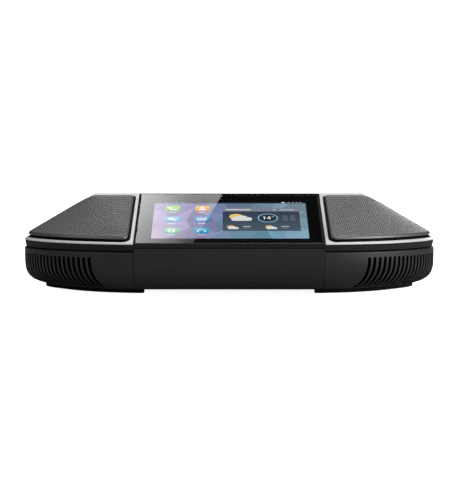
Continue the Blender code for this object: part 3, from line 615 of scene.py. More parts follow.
def polyimide(name, colour):
    n = Nodes(name)
    tracks = n.add("ShaderNodeTexWave", bands_direction="X", Scale=260.0)
    n.put(tracks.inputs["Vector"], n.place)
    n.principled(
        Base_Color=n.mix(
            n.ramp(tracks.outputs["Fac"], 0, 1, 0.4, 0.6),
            colour,
            scaled(colour, 2.2),
        ),
        Roughness=0.4,
        Coat_Weight=0.4,
        Normal=n.bump(tracks.outputs["Fac"], 0.02 * MM, 0.4),
    )
    return n.material


def cover_glass(name):
    """The polished face: what lies below shows through, under a mirror image that grows at low angles."""
    n = Nodes(name)
    smear = n.noise(55, 4.0, 0.6)
    clear = n.add("ShaderNodeBsdfTransparent", Color=rgba(0.97))
    mirror = n.add("ShaderNodeBsdfGlossy", Color=rgba(1.0))
    n.put(mirror.inputs["Roughness"], n.ramp(smear, 0.012, 0.03, 0.45, 0.8))
    fresnel = n.add("ShaderNodeFresnel", IOR=1.5)
    blend = n.add("ShaderNodeMixShader")
    n.put(blend.inputs[0], fresnel.outputs[0])
    n.put(blend.inputs[1], clear.outputs[0])
    n.put(blend.inputs[2], mirror.outputs[0])
    n.put(n.output.inputs[0], blend.outputs[0])
    return n.material


def clear_back(name):
    n = Nodes(name)
    tint = n.noise(30, 2.0)
    clear = n.add("ShaderNodeBsdfTransparent")
    n.put(clear.inputs["Color"], n.mix(tint, rgba(0.985), rgba(0.995)))
    n.put(n.output.inputs[0], clear.outputs[0])
    return n.material


def ground_edge(name):
    """The glass's ground edge, dark with the print behind it."""
    n = Nodes(name)
    grind = n.noise(2600, 2.0)
    n.principled(
        Base_Color=n.mix(grind, rgba(0.03), rgba(0.06)),
        Roughness=n.ramp(grind, 0.12, 0.25),
        Specular_IOR_Level=0.8,
    )
    return n.material


def lit_picture(name, strength=1.0):
    """A lit display: its picture is in the colour attribute, cut by the fine grid of its pixels."""
    n = Nodes(name)
    picture = n.add("ShaderNodeVertexColor", layer_name="picture")
    columns = n.add("ShaderNodeTexWave", bands_direction="X", Scale=1200.0)
    n.put(columns.inputs["Vector"], n.place)
    grid = n.ramp(columns.outputs["Fac"], 0.94, 1.0, 0, 1)
    light = n.mix(grid, rgba(0.0), picture.outputs["Color"])
    glow = n.add("ShaderNodeEmission", Strength=strength)
    n.put(glow.inputs["Color"], light)
    n.put(n.output.inputs[0], glow.outputs[0])
    return n.material


FINISHES = {
    "shell_black": moulded_plastic("shell_black", rgba(0.0125, 0.0135, 0.013), 0.46),
    "fascia_black": moulded_plastic("fascia_black", rgba(0.011, 0.012, 0.0115), 0.44),
    "trim_silver": silver_paint("trim_silver", rgba(0.66, 0.66, 0.68), 0.34, 0.35),
    "grille_grey": grille_paint("grille_grey", rgba(0.24, 0.24, 0.245)),
    "cloth_black": woven_cloth("cloth_black", rgba(0.006)),
    "glass_black": ground_edge("glass_edge"),
    "display": moulded_plastic("display_frame", rgba(0.02), 0.3),
    "foam_black": foam("foam_black", rgba(0.008)),
    "rubber_black": rubber("rubber_black", rgba(0.006)),
    "steel": plated_steel("steel", rgba(0.55, 0.55, 0.56)),
    "board_green": circuit_board("board_green", rgba(0.010, 0.085, 0.032)),
    "jack_black": moulded_plastic("jack_black", rgba(0.012), 0.4),
    "ferrite": sintered("ferrite", rgba(0.045, 0.045, 0.048)),
    "cone_black": coated_paper("cone_black", rgba(0.014)),
    "cable_amber": polyimide("cable_amber", rgba(0.22, 0.09, 0.02)),
}
# Near-black: the real print under the glass, and painted shade on the hull's slot walls and on the grilles' skirts
# and undersides.
PRINT_AND_SHADE_BLACK = moulded_plastic("print_and_shade_black", rgba(0.0015), 0.6, 0.05, 0.005 * MM)
# A darker, rougher and less glossy copy of the shell's black, for a cover of the same plastic. Its darker colour is
# painted shade, chiefly on the wall under the trims.
COVER_BLACK_SHADED = moulded_plastic("cover_black_painted_shade", rgba(0.0105, 0.0112, 0.011), 0.6, 0.17)


# ---------------------------------------------------------------- casing


def roof_solid(name, drop=0.0, grow=0.0, base_z=0.0, round_base=0.0, lean=0.0):
    """All that lies under the roof, with the roof lowered by drop and the plan grown by grow."""
    right = half_ring(lambda turn: -grow)
    rim_z = RIM_Z - drop - grow * SLOPE
    mesh = bmesh.new()
    levels = [(0.0, base_z)]
    if round_base:
        levels = [
            (lean + round_base * (1 - math.sin(a)), base_z + round_base * (1 - math.cos(a)))
            for a in (0, math.pi / 8, math.pi / 4, math.pi * 3 / 8, math.pi / 2)
        ]
    levels.append((0.0, rim_z))
    rights, lefts = [], []
    for inset, z in levels:
        ring = half_ring(lambda turn: inset - grow)
        rights.append([mesh.verts.new((x, y, z)) for x, y in ring])
        lefts.append([mesh.verts.new((-x, y, z)) for x, y in ring])
    peak_r = mesh.verts.new((RIDGE_HALF, RIDGE_Y, RIDGE_Z - drop))
    peak_l = mesh.verts.new((-RIDGE_HALF, RIDGE_Y, RIDGE_Z - drop))
    for rows, peak in ((rights, peak_r), (lefts, peak_l)):
        for i in range(len(right) - 1):
            for low, high in zip(rows, rows[1:]):
                mesh.faces.new((low[i], low[i + 1], high[i + 1], high[i]))
            mesh.faces.new((rows[-1][i], rows[-1][i + 1], peak))
    rim_r, rim_l = rights[-1], lefts[-1]
    mesh.faces.new((rim_l[0], rim_r[0], peak_r, peak_l))
    mesh.faces.new((rim_r[-1], rim_l[-1], peak_l, peak_r))
    for j in range(len(levels) - 1):
        mesh.faces.new((lefts[j][0], rights[j][0], rights[j + 1][0], lefts[j + 1][0]))
        mesh.faces.new(
            (rights[j][-1], lefts[j][-1], lefts[j + 1][-1], rights[j + 1][-1])
        )
    mesh.faces.new(rights[0] + lefts[0][::-1])
    return linked(name, mesh)


def bezier_corner(before, corner, after, steps=10):
    a, b, c = Vector(before), Vector(corner), Vector(after)
    return [
        tuple(a * (1 - t) ** 2 + b * 2 * t * (1 - t) + c * t * t)
        for t in (i / steps for i in range(steps + 1))
    ]


def resampled(points, spacing):
    """A polyline's points at an even spacing, with its own ends."""
    points = np.array(points)
    length = np.concatenate(
        ([0], np.cumsum(np.hypot(*np.diff(points, axis=0).T)))
    )
    count = max(2, int(round(length[-1] / spacing)) + 1)
    at = np.linspace(0, length[-1], count)
    return [
        (float(np.interp(t, length, points[:, 0])), float(np.interp(t, length, points[:, 1])))
        for t in at
    ]


def wing_outline(front, inner, back, corner=0.0, spacing=0.8 * MM):
    """Plan of the right-hand grille area, with its edges moved in by these distances and its corners rounded."""
    ridge_end = Vector((RIDGE_HALF, RIDGE_Y))
    along = (WING_END - ridge_end).normalized()
    forwards = Vector((along.y, -along.x))
    start = ridge_end + forwards * back
    inner_x = CREASE_X + inner
    back_y = RIDGE_Y - back
    bend = start + along * (back_y - start.y) / along.y
    curve = []
    loop = half_ring(lambda turn: front)
    previous = (0.0, loop[0][1])
    for point in loop:
        reach = (Vector(point) - start).dot(forwards)
        if point[0] > inner_x:
            if not curve:
                t = (inner_x - previous[0]) / (point[0] - previous[0])
                curve.append((inner_x, previous[1] + (point[1] - previous[1]) * t))
            if reach < 0:
                last = (Vector(previous) - start).dot(forwards)
                t = last / (last - reach)
                curve.append(
                    tuple(Vector(previous) + (Vector(point) - Vector(previous)) * t)
                )
                break
            curve.append(point)
        previous = point
    tip = curve[-1]
    inner_back = (inner_x, back_y)
    sides = [
        resampled(curve, spacing),
        resampled([tip, tuple(bend)], spacing),
        resampled([tuple(bend), inner_back], spacing),
        resampled([inner_back, curve[0]], spacing),
    ]
    if not corner:
        return [p for side in sides for p in side[:-1]]
    cuts = {0: corner * 0.95, 1: corner * 0.8, 3: corner * 0.55}
    trimmed = []
    for k, side in enumerate(sides):
        low = int(cuts.get(k, 0) / spacing)
        high = int(cuts.get((k + 1) % 4, 0) / spacing)
        trimmed.append(side[low : len(side) - high])
    outline = []
    for k, side in enumerate(trimmed):
        if k in cuts:
            outline += bezier_corner(trimmed[k - 1][-1], sides[k][0], side[0])[1:-1]
        outline += side if k in cuts else side[1:]
    return outline


def flipped(points):
    return [(-x, y) for x, y in reversed(points)]


def make_hull():
    """The vented bowl."""
    sweeps = [math.pi / 2 * i / 18 for i in range(19)]
    inner = [bowl_ring(sweep, WALL) for sweep in reversed(sweeps)]
    outer = [bowl_ring(sweep) for sweep in sweeps]
    lip = 0.55 * MM
    top = [ring_at(WALL, PARTING_Z)]
    for i in range(5):
        a = math.pi / 2 * i / 4
        top.append(
            ring_at(lip * (1 - math.sin(a)), PARTING_Z - lip * (1 - math.cos(a)))
        )
    hull = loft("hull", inner + top + outer)
    cutters = bmesh.new()
    half, low, high = SLOT_WIDTH / 2, SLOT_BOTTOM_Z, SLOT_TOP_Z
    outline = []
    for centre, start in ((high - half, 0.0), (low + half, math.pi)):
        for i in range(7):
            a = start + math.pi * i / 6
            outline.append((half * math.cos(a), centre + half * math.sin(a)))
    for i in range(SLOT_COUNT):
        x, y, turn = point_along_plan(SLOT_START + SLOT_PITCH * i)
        for side in (1, -1):
            place = Matrix.Translation((x * side, y, 0)) @ Matrix.Rotation(
                (turn + SLOT_LEAN) * side, 4, "Z"
            )
            near = [cutters.verts.new(place @ Vector((u, -3 * MM, w))) for u, w in outline]
            far = [cutters.verts.new(place @ Vector((u, 21 * MM, w))) for u, w in outline]
            cutters.faces.new(near)
            cutters.faces.new(far[::-1])
            for j in range(len(outline)):
                k = (j + 1) % len(outline)
                cutters.faces.new((near[k], near[j], far[j], far[k]))
    # The cutters' faces become the slot walls and take the near-black material in the second slot: painted shade
    # inside the slots.
    for face in cutters.faces:
        face.material_index = 1
    slots = linked("slots", cutters)
    for piece in (hull, slots):
        piece.data.materials.append(FINISHES["shell_black"])
        piece.data.materials.append(PRINT_AND_SHADE_BLACK)
    boolean(hull, slots)
    notch_y = (FRONT_Y - 0.05, FRONT_Y + BOWL_IN + 1.3 * MM)
    boolean(hull, box("notch", (-CREASE_X, CREASE_X), notch_y, (-0.05, 0.05)))
    bay_z = (4.6 * MM, 0.05)
    boolean(hull, box("bay", (-40 * MM, 40 * MM), (80 * MM, REAR_Y + 0.05), bay_z))
    for name in CASE_SCREWS:
        low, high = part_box(name)
        x, y = (low.x + high.x) / 2, (low.y + high.y) / 2
        boolean(hull, cylinder("sink", 3.1 * MM, (-0.01, 5.4 * MM), x, y))
    bevelled(hull, 0.22 * MM, 2, math.radians(35))
    return dressed(hull, FINISHES["shell_black"], "lower_shell", keep=True)


CASE_SCREWS = [f"case_screw_{i}" for i in range(1, 7)]


def make_fascia():
    """The flat front plate, bent under like the bowl beside it."""
    top_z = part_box("front_fascia")[1].z
    half = CREASE_X - 0.15 * MM
    profile_out = [(FRONT_Y, top_z)]
    profile_in = [(FRONT_Y + WALL, top_z)]
    for i in range(19):
        sweep = math.pi / 2 * i / 18
        y = FRONT_Y + BOWL_IN * (1 - math.cos(sweep))
        z = BOWL_TOP_Z - (BOWL_TOP_Z - FLOOR_Z) * math.sin(sweep)
        profile_out.append((y, z))
        profile_in.append((y + WALL * math.cos(sweep), z + WALL * math.sin(sweep)))
    lip_y = FRONT_Y + BOWL_IN + 1.0 * MM
    profile_out.append((lip_y, FLOOR_Z))
    profile_in.append((lip_y, FLOOR_Z + WALL))
    profile = profile_out + profile_in[::-1]
    rings = [[(x, y, z) for y, z in profile] for x in (-half, half)]
    fascia = loft("fascia", rings)
    bevelled(fascia, 0.3 * MM, 3, math.radians(40))
    return dressed(fascia, FINISHES["fascia_black"], "front_fascia")


def make_top_cover():
    """The roof with the screen's pocket, the recesses for the trims and the openings under the grilles."""
    cover = roof_solid("top_cover", base_z=UPPER_BASE_Z, round_base=0.5 * MM, lean=0.9 * MM)
    boolean(cover, roof_solid("hollow", ROOF_THICKNESS, -WALL))
    pocket = GLASS_HALF + 0.3 * MM
    pocket_s = (GLASS_FROM - 0.2 * MM, GLASS_TO + 0.2 * MM)
    boolean(cover, slope_box("pocket", (-pocket, pocket), pocket_s, (-1.9 * MM, 0.05)))
    window = 53.25 * MM
    window_s = (2.7 * MM, 70.9 * MM)
    boolean(
        cover, slope_box("window", (-window, window), window_s, (-9 * MM, 1 * MM))
    )
    rebate = wing_outline(-3 * MM, 0.1 * MM, 0.1 * MM)
    opening = wing_outline(
        TRIM_FRONT + LEDGE, TRIM_INNER + LEDGE, TRIM_BACK + LEDGE, GRILLE_CORNER
    )
    for side in (1, -1):
        rebate_points = rebate if side == 1 else flipped(rebate)
        opening_points = opening if side == 1 else flipped(opening)
        cutter = prism("rebate", rebate_points, (10 * MM, 0.12))
        boolean(cutter, roof_solid("under", TRIM_THICKNESS + 0.2 * MM, 0.5 * MM))
        boolean(cover, cutter)
        boolean(cover, prism("opening", opening_points, (RIM_Z - 1.7 * MM, 0.12)))
    seam_y = (FRONT_Y - 0.05, FRONT_Y + 3 * MM)
    boolean(cover, box("seam", (-CREASE_X, CREASE_X), seam_y, (-0.01, UPPER_BASE_Z + 2 * MM)))
    bay_y = (90 * MM, REAR_Y + 0.05)
    boolean(cover, box("bay", (-40.3 * MM, 40.3 * MM), bay_y, (-0.01, PARTING_Z + 0.2 * MM)))
    bevelled(cover, 0.22 * MM, 2, math.radians(30))
    # The cover takes the darker copy of the shell's black: painted shade.
    return dressed(cover, COVER_BLACK_SHADED, "upper_shell")


def make_trims():
    trim = roof_solid("trim_frame_right")
    region = wing_outline(-3 * MM, 0.3 * MM, 0.3 * MM)
    boolean(trim, prism("region", region, (-0.01, 0.12)), "INTERSECT")
    inside = wing_outline(TRIM_FRONT, TRIM_INNER, TRIM_BACK, GRILLE_CORNER)
    boolean(trim, prism("inside", inside, (-0.01, 0.12)))
    boolean(trim, roof_solid("under", TRIM_SHEET, 0.5 * MM))
    bevelled(trim, 0.2 * MM, 3, math.radians(35))
    left = mirrored(trim, "trim_frame_left")
    dressed(trim, FINISHES["trim_silver"], "trim_right")
    dressed(left, FINISHES["trim_silver"], "trim_left")


def make_grilles():
    """Perforated pans with rolled edges, each over a recessed skirt. The skirt and the pan's underside are painted
    near-black and the rolled edge a darker grey: painted shade.
    """
    outline = wing_outline(
        TRIM_FRONT + GRILLE_GAP_FRONT,
        TRIM_INNER + GRILLE_GAP_INNER,
        TRIM_BACK + GRILLE_GAP_BACK,
        GRILLE_CORNER - GRILLE_GAP_FRONT,
        0.9 * MM,
    )
    points = np.array(outline)
    chord = np.roll(points, -1, 0) - np.roll(points, 1, 0)
    inwards = np.stack((-chord[:, 1], chord[:, 0]), 1)
    inwards /= np.hypot(inwards[:, 0], inwards[:, 1])[:, None]
    middle = np.array((88 * MM, -58 * MM))
    sheet = 0.6 * MM
    skirt = 0.9 * MM

    def level(inset, share, lift=0.0, toward=0.0):
        """The outline moved in, at a share of the grille's rise."""
        ring = points + inwards * inset
        ring = ring + (middle - ring) * toward
        return [
            (x, y, roof_height(x, y) + grille_rise(x, y) * share + lift)
            for x, y in ring
        ]

    roll = (
        (0.0, 0.62),
        (0.06, 0.74),
        (0.22, 0.86),
        (0.50, 0.95),
        (0.86, 0.99),
        (1.2, 1.0),
    )
    shares = (0.05, 0.12, 0.2, 0.34, 0.48, 0.62, 0.76, 0.88, 0.96)
    outer = [
        level(skirt, 0, -TRIM_THICKNESS),
        level(skirt, 0.42),
        level(0.12 * MM, 0.42),
        level(0, 0.45),
    ]
    outer += [level(inset * MM, share) for inset, share in roll]
    outer += [level(1.2 * MM, 1.0, 0.0, share) for share in shares]
    inner = [level(skirt + 0.5 * MM, 0, -TRIM_THICKNESS)]
    inner += [level(1.5 * MM, 1.0, -sheet)]
    inner += [level(1.5 * MM, 1.0, -sheet, share) for share in shares]
    mesh = bmesh.new()
    rows = [[mesh.verts.new(p) for p in ring] for ring in reversed(inner)]
    rows += [[mesh.verts.new(p) for p in ring] for ring in outer]
    count = len(points)
    for k, (low, high) in enumerate(zip(rows, rows[1:])):
        for i in range(count):
            j = (i + 1) % count
            face = mesh.faces.new((low[i], low[j], high[j], high[i]))
            outside = k - len(inner)
            # Underside and skirt faces take the near-black painted shade, the rolled edge the darker grey painted
            # shade, and the top the grille grey.
            face.material_index = 1 if outside <= 1 else 2 if outside <= 7 else 0
    for row, lift in ((rows[0], -sheet), (rows[-1], 0.0)):
        x, y = middle
        centre = mesh.verts.new((x, y, roof_height(x, y) + grille_rise(x, y) + lift))
        for i in range(count):
            face = mesh.faces.new((row[i], row[(i + 1) % count], centre))
            # The underside's centre takes the near-black painted shade.
            face.material_index = 1 if lift else 0
    grille = linked("grille_mesh_right", mesh)
    # The rolled edge's darker grey is painted shade at the grille's edge.
    rolled = grille_paint("grille_rolled_edge_painted_shade", rgba(0.11))
    for material in (FINISHES["grille_grey"], PRINT_AND_SHADE_BLACK, rolled):
        grille.data.materials.append(material)

    inside = outline_test([tuple(p) for p in points + inwards * 1.15 * MM])
    holes = bmesh.new()
    x_low, x_high = points[:, 0].min(), points[:, 0].max()
    y_low, y_high = points[:, 1].min(), points[:, 1].max()
    for j in range(int((y_high - y_low) / HOLE_ROW) + 2):
        for i in range(int((x_high - x_low) / HOLE_PITCH) + 2):
            x = x_low + (i + 0.5 * (j % 2)) * HOLE_PITCH
            y = y_low + j * HOLE_ROW
            if inside(x, y + HOLE_HALF_LENGTH) and inside(x, y - HOLE_HALF_LENGTH):
                add_hole(holes, x, y)
    holes_obj = linked("holes", holes)
    holes_obj.data.materials.append(FINISHES["grille_grey"])
    boolean(grille, holes_obj)
    left = mirrored(grille, "grille_mesh_left")
    for pan, node in ((grille, "grille_right"), (left, "grille_left")):
        dressed(pan, FINISHES["grille_grey"], node, keep=True)


def add_hole(holes, x, y):
    """A cutter for one slotted hole, its long way up the slope."""
    top = roof_height(x, y) + grille_rise(x, y)
    straight = HOLE_HALF_LENGTH - HOLE_HALF_WIDTH
    ring = []
    for k in range(10):
        a = math.pi * (k % 5) / 4 + (math.pi if k > 4 else 0)
        v = straight if k < 5 else -straight
        ring.append((x + HOLE_HALF_WIDTH * math.cos(a), y + v + HOLE_HALF_WIDTH * math.sin(a)))
    rows = []
    for lift in (-2.2 * MM, 0.6 * MM):
        rows.append([holes.verts.new((u, v, top + lift + (v - y) * SLOPE)) for u, v in ring])
    low, high = rows
    holes.faces.new(low[::-1])
    holes.faces.new(high)
    for k in range(len(ring)):
        m = (k + 1) % len(ring)
        holes.faces.new((low[k], low[m], high[m], high[k]))


def outline_test(outline):
    """A function that says whether a point lies inside an outline."""
    points = np.array(outline)
    x1, y1 = points[:, 0], points[:, 1]
    x2, y2 = np.roll(x1, -1), np.roll(y1, -1)

    def inside(x, y):
        crosses = (y1 > y) != (y2 > y)
        at = x1 + (y - y1) * (x2 - x1) / np.where(y2 == y1, 1e-12, y2 - y1)
        return bool(np.count_nonzero(crosses & (x < at)) % 2)

    return inside


def make_feet():
    """Rubber strips that follow the plan and fit the bowl above them."""
    spans = {"front": (0.0, 90.2), "rear": (125.0, 149.6)}
    for place, (low, high) in spans.items():
        path = [(52 * MM, FRONT_Y, 0.0)] if place == "front" else []
        path += [p[:3] for p in HALF_PLAN if low <= math.degrees(p[2]) <= high]
        rings = []
        for x, y, turn in path:
            flare = max(0.0, 1 - abs(turn - math.pi / 2) / math.radians(35))
            near = FOOT_INSET - FOOT_FLARE * flare
            rings.append(
                [
                    (x - math.sin(turn) * inset, y + math.cos(turn) * inset, z)
                    for inset, z in (
                        (near, 0),
                        (near + FOOT_WIDTH, 0),
                        (near + FOOT_WIDTH, 8 * MM),
                        (near, 8 * MM),
                    )
                ]
            )
        foot = loft(f"foot_{place}_right_pad", rings)
        sweeps = [math.pi / 2 * i / 18 for i in range(19)]
        bowl = [bowl_ring(sweep, -0.1 * MM) for sweep in reversed(sweeps)]
        boolean(foot, loft("bowl", bowl + [ring_at(-0.1 * MM, PARTING_Z)]))
        bevelled(foot, 0.35 * MM, 2, math.radians(50))
        left = mirrored(foot, f"foot_{place}_left_pad")
        dressed(foot, FINISHES["rubber_black"], f"foot_{place}_right")
        dressed(left, FINISHES["rubber_black"], f"foot_{place}_left")


# ---------------------------------------------------------------- screen


def make_glass():
    glass = slope_box(
        "cover_glass",
        (-GLASS_HALF, GLASS_HALF),
        (GLASS_FROM, GLASS_TO),
        (-GLASS_THICKNESS, 0),
    )
    bevelled(glass, 0.25 * MM, 3)
    dressed(glass, FINISHES["glass_black"], "touch_glass")
    glass.data.materials.append(cover_glass("cover_glass"))
    glass.data.materials.append(clear_back("glass_back"))
    up = TO_SLOPE.to_3x3() @ Vector((0, 0, 1))
    for face in glass.data.polygons:
        facing = face.normal.dot(up)
        face.material_index = 1 if facing > 0.999 else 2 if facing < -0.999 else 0
    outer = [
        (-55.7 * MM, 1.0 * MM),
        (55.7 * MM, 1.0 * MM),
        (55.7 * MM, GLASS_TO - 0.2 * MM),
        (-55.7 * MM, GLASS_TO - 0.2 * MM),
    ]
    half, low, high = PICTURE_HALF + 0.1 * MM, PICTURE_FROM, PICTURE_TO
    hole = [(-half, low), (half, low), (half, high), (-half, high)]
    hole = [(x + PICTURE_X, s) for x, s in hole]
    rings = [
        [(x, s, n) for x, s in loop]
        for loop, n in (
            (outer, -1.28 * MM),
            (outer, -1.24 * MM),
            (hole, -1.24 * MM),
            (hole, -1.28 * MM),
        )
    ]
    ink = loft("glass_print", rings, closed=True)
    ink.data.transform(TO_SLOPE)
    dressed(ink, PRINT_AND_SHADE_BLACK, slot="glass_black")


class Picture:
    """Flat coloured shapes on the display, in millimetres across (x) and up the slope (s)."""

    def __init__(self):
        self.mesh = bmesh.new()
        self.colours = self.mesh.loops.layers.float_color.new("picture")

    def shape(self, points, colour, layer, top_colour=None):
        n = (-1.47 + 0.015 * layer) * MM
        scale = (PICTURE_TO - PICTURE_FROM) / (DRAWN_TO - DRAWN_FROM)
        placed = [
            (x * MM, PICTURE_FROM + (s - DRAWN_FROM) * scale, n) for x, s in points
        ]
        face = self.mesh.faces.new([self.mesh.verts.new(p) for p in placed])
        low = min(s for _, s in points)
        high = max(s for _, s in points)
        for loop, (_, s) in zip(face.loops, points):
            t = (s - low) / max(high - low, 1e-9)
            mixed = colour if top_colour is None else [
                a + (b - a) * t for a, b in zip(colour, top_colour)
            ]
            loop[self.colours] = (*srgb(mixed), 1.0)

    def bar(self, x, s, width, height, colour, layer=4):
        self.rounded(x, s, width, height, min(width, height) * 0.45, colour, layer)

    def rounded(self, x, s, width, height, radius, colour, layer, top_colour=None):
        points = []
        for cx, cs, start in (
            (width / 2 - radius, height / 2 - radius, 0),
            (radius - width / 2, height / 2 - radius, 90),
            (radius - width / 2, radius - height / 2, 180),
            (width / 2 - radius, radius - height / 2, 270),
        ):
            for i in range(6):
                a = math.radians(start + 18 * i)
                points.append((x + cx + radius * math.cos(a), s + cs + radius * math.sin(a)))
        self.shape(points, colour, layer, top_colour)

    def disc(self, x, s, radius, colour, layer, squash=1.0, top_colour=None):
        points = [
            (x + radius * math.cos(a), s + radius * squash * math.sin(a))
            for a in (2 * math.pi * i / 28 for i in range(28))
        ]
        self.shape(points, colour, layer, top_colour)

    def arc(self, x, s, radius, width, start, end, colour, layer):
        steps = 28
        angles = [math.radians(start + (end - start) * i / steps) for i in range(steps + 1)]
        for a, b in zip(angles, angles[1:]):
            points = [
                (x + r * math.cos(t), s + r * math.sin(t))
                for r, t in (
                    (radius, a),
                    (radius, b),
                    (radius - width, b),
                    (radius - width, a),
                )
            ]
            self.shape(points, colour, layer)

    def line(self, a, b, width, colour, layer=5):
        a, b = Vector(a), Vector(b)
        side = (b - a).normalized().orthogonal() * width / 2
        self.shape([tuple(a + side), tuple(b + side), tuple(b - side), tuple(a - side)], colour, layer)


def srgb(colour):
    return [
        c / 12.92 / 255 if c <= 10 else ((c / 255 + 0.055) / 1.055) ** 2.4
        for c in colour
    ]


def wallpaper_colour(u, v):
    """Soft violet at the left turning to teal at the right, with a pale lower left."""
    stops = (
        (0.0, (150, 132, 178), (196, 176, 204)),
        (0.3, (120, 118, 172), (176, 172, 212)),
        (0.5, (112, 130, 162), (128, 164, 188)),
        (0.75, (128, 150, 168), (110, 160, 184)),
        (1.0, (146, 172, 182), (142, 172, 192)),
    )
    for (a, top_a, low_a), (b, top_b, low_b) in zip(stops, stops[1:]):
        if a <= u <= b:
            t = (u - a) / (b - a)
            top = [p + (q - p) * t for p, q in zip(top_a, top_b)]
            low = [p + (q - p) * t for p, q in zip(low_a, low_b)]
            return [q + (p - q) * v for p, q in zip(top, low)]
    return stops[-1][1]


def draw_wallpaper(picture):
    """Facets of a folded sheet of colour."""
    dice = random.Random(7)
    columns, rows = 8, 4
    left, right = -PICTURE_HALF / MM, PICTURE_HALF / MM
    low, high = DRAWN_FROM, DRAWN_TO
    grid = {}
    for i in range(columns + 1):
        for j in range(rows + 1):
            u, v = i / columns, j / rows
            if 0 < i < columns:
                u += dice.uniform(-0.045, 0.045)
            if 0 < j < rows:
                v += dice.uniform(-0.09, 0.09)
            grid[i, j] = (u, v)
    for i in range(columns):
        for j in range(rows):
            a, b = grid[i, j], grid[i + 1, j]
            c, d = grid[i + 1, j + 1], grid[i, j + 1]
            pairs = ((a, b, c), (a, c, d)) if (i + j) % 2 else ((a, b, d), (b, c, d))
            for triangle in pairs:
                u = sum(p[0] for p in triangle) / 3
                v = sum(p[1] for p in triangle) / 3
                shade = dice.uniform(0.86, 1.1)
                colour = [min(255, k * shade) for k in wallpaper_colour(u, v)]
                points = [
                    (left + (right - left) * p[0], low + (high - low) * p[1])
                    for p in triangle
                ]
                picture.shape(points, colour, 0)


def draw_weather_mark(picture, x, s, size):
    """A sun half behind a cloud."""
    sun, cloud = (250, 214, 120), (236, 238, 236)
    picture.disc(x - 0.2 * size, s + 0.12 * size, 0.33 * size, sun, 3, 0.9)
    for dx, ds, r in ((-0.22, -0.12, 0.22), (0.05, -0.02, 0.3), (0.36, -0.14, 0.2)):
        picture.disc(x + dx * size, s + ds * size, r * size, cloud, 4, 0.85)
    picture.bar(x + 0.06 * size, s - 0.25 * size, 0.95 * size, 0.22 * size, cloud, 4)


def draw_digit(picture, digit, x, s, height, colour):
    """A digit made of straight strokes."""
    w, h = height * 0.5, height
    strokes = {
        "1": [((0.5, 1), (0.5, 0)), ((0.5, 1), (0.2, 0.78))],
        "4": [((0.75, 1), (0.75, 0)), ((0.75, 1), (0.05, 0.35)), ((0.05, 0.35), (1, 0.35))],
    }
    for a, b in strokes[digit]:
        picture.line(
            (x + (a[0] - 0.5) * w, s + (a[1] - 0.5) * h),
            (x + (b[0] - 0.5) * w, s + (b[1] - 0.5) * h),
            height * 0.16,
            colour,
            6,
        )


def draw_icons(picture):
    white = (250, 250, 250)
    rows, columns = (50.9, 34.8, 18.6), (-35.7, -17.4)
    looks = [
        ((112, 178, 74), (176, 220, 120)),
        ((224, 140, 40), (250, 200, 96)),
        ((70, 160, 214), (140, 210, 244)),
        ((52, 130, 200), (120, 186, 236)),
        ((96, 186, 130), (160, 224, 178)),
        ((30, 150, 200), (96, 200, 232)),
    ]
    for i, (low, high) in enumerate(looks):
        x, s = columns[i % 2], rows[i // 2]
        picture.rounded(x, s, 9.2, 8.2, 1.7, low, 2, high)
        picture.bar(x, s - 5.9, 4.6, 0.7, (240, 240, 246), 2)
        if i == 0:
            picture.arc(x + 0.6, s + 1.2, 3.2, 1.1, 190, 300, white, 4)
            picture.disc(x - 2.1, s + 0.9, 0.95, white, 5)
            picture.disc(x + 1.7, s - 1.6, 0.95, white, 5)
        elif i == 1:
            picture.disc(x, s + 1.2, 1.3, white, 4)
            picture.rounded(x, s - 1.6, 4.6, 2.0, 0.95, white, 4)
        elif i == 2:
            picture.disc(x - 0.8, s + 0.8, 2.0, white, 4, 0.75)
            picture.disc(x + 1.6, s - 0.9, 1.5, (214, 238, 250), 5, 0.75)
        elif i == 3:
            picture.rounded(x, s, 5.6, 3.2, 0.5, white, 4)
            for dx in (-1.6, 0, 1.6):
                picture.rounded(x + dx, s, 1.0, 1.6, 0.2, (70, 150, 214), 5)
        elif i == 4:
            picture.arc(x, s, 2.3, 1.1, 0, 360, white, 4)
            for k in range(6):
                a = math.radians(60 * k)
                picture.disc(x + 2.4 * math.cos(a), s + 2.4 * math.sin(a), 0.55, white, 5)
        else:
            picture.arc(x, s - 0.4, 2.6, 0.8, 0, 180, white, 4)
            picture.bar(x - 2.2, s - 1.2, 1.0, 1.7, white, 5)
            picture.bar(x + 2.2, s - 1.2, 1.0, 1.7, white, 5)


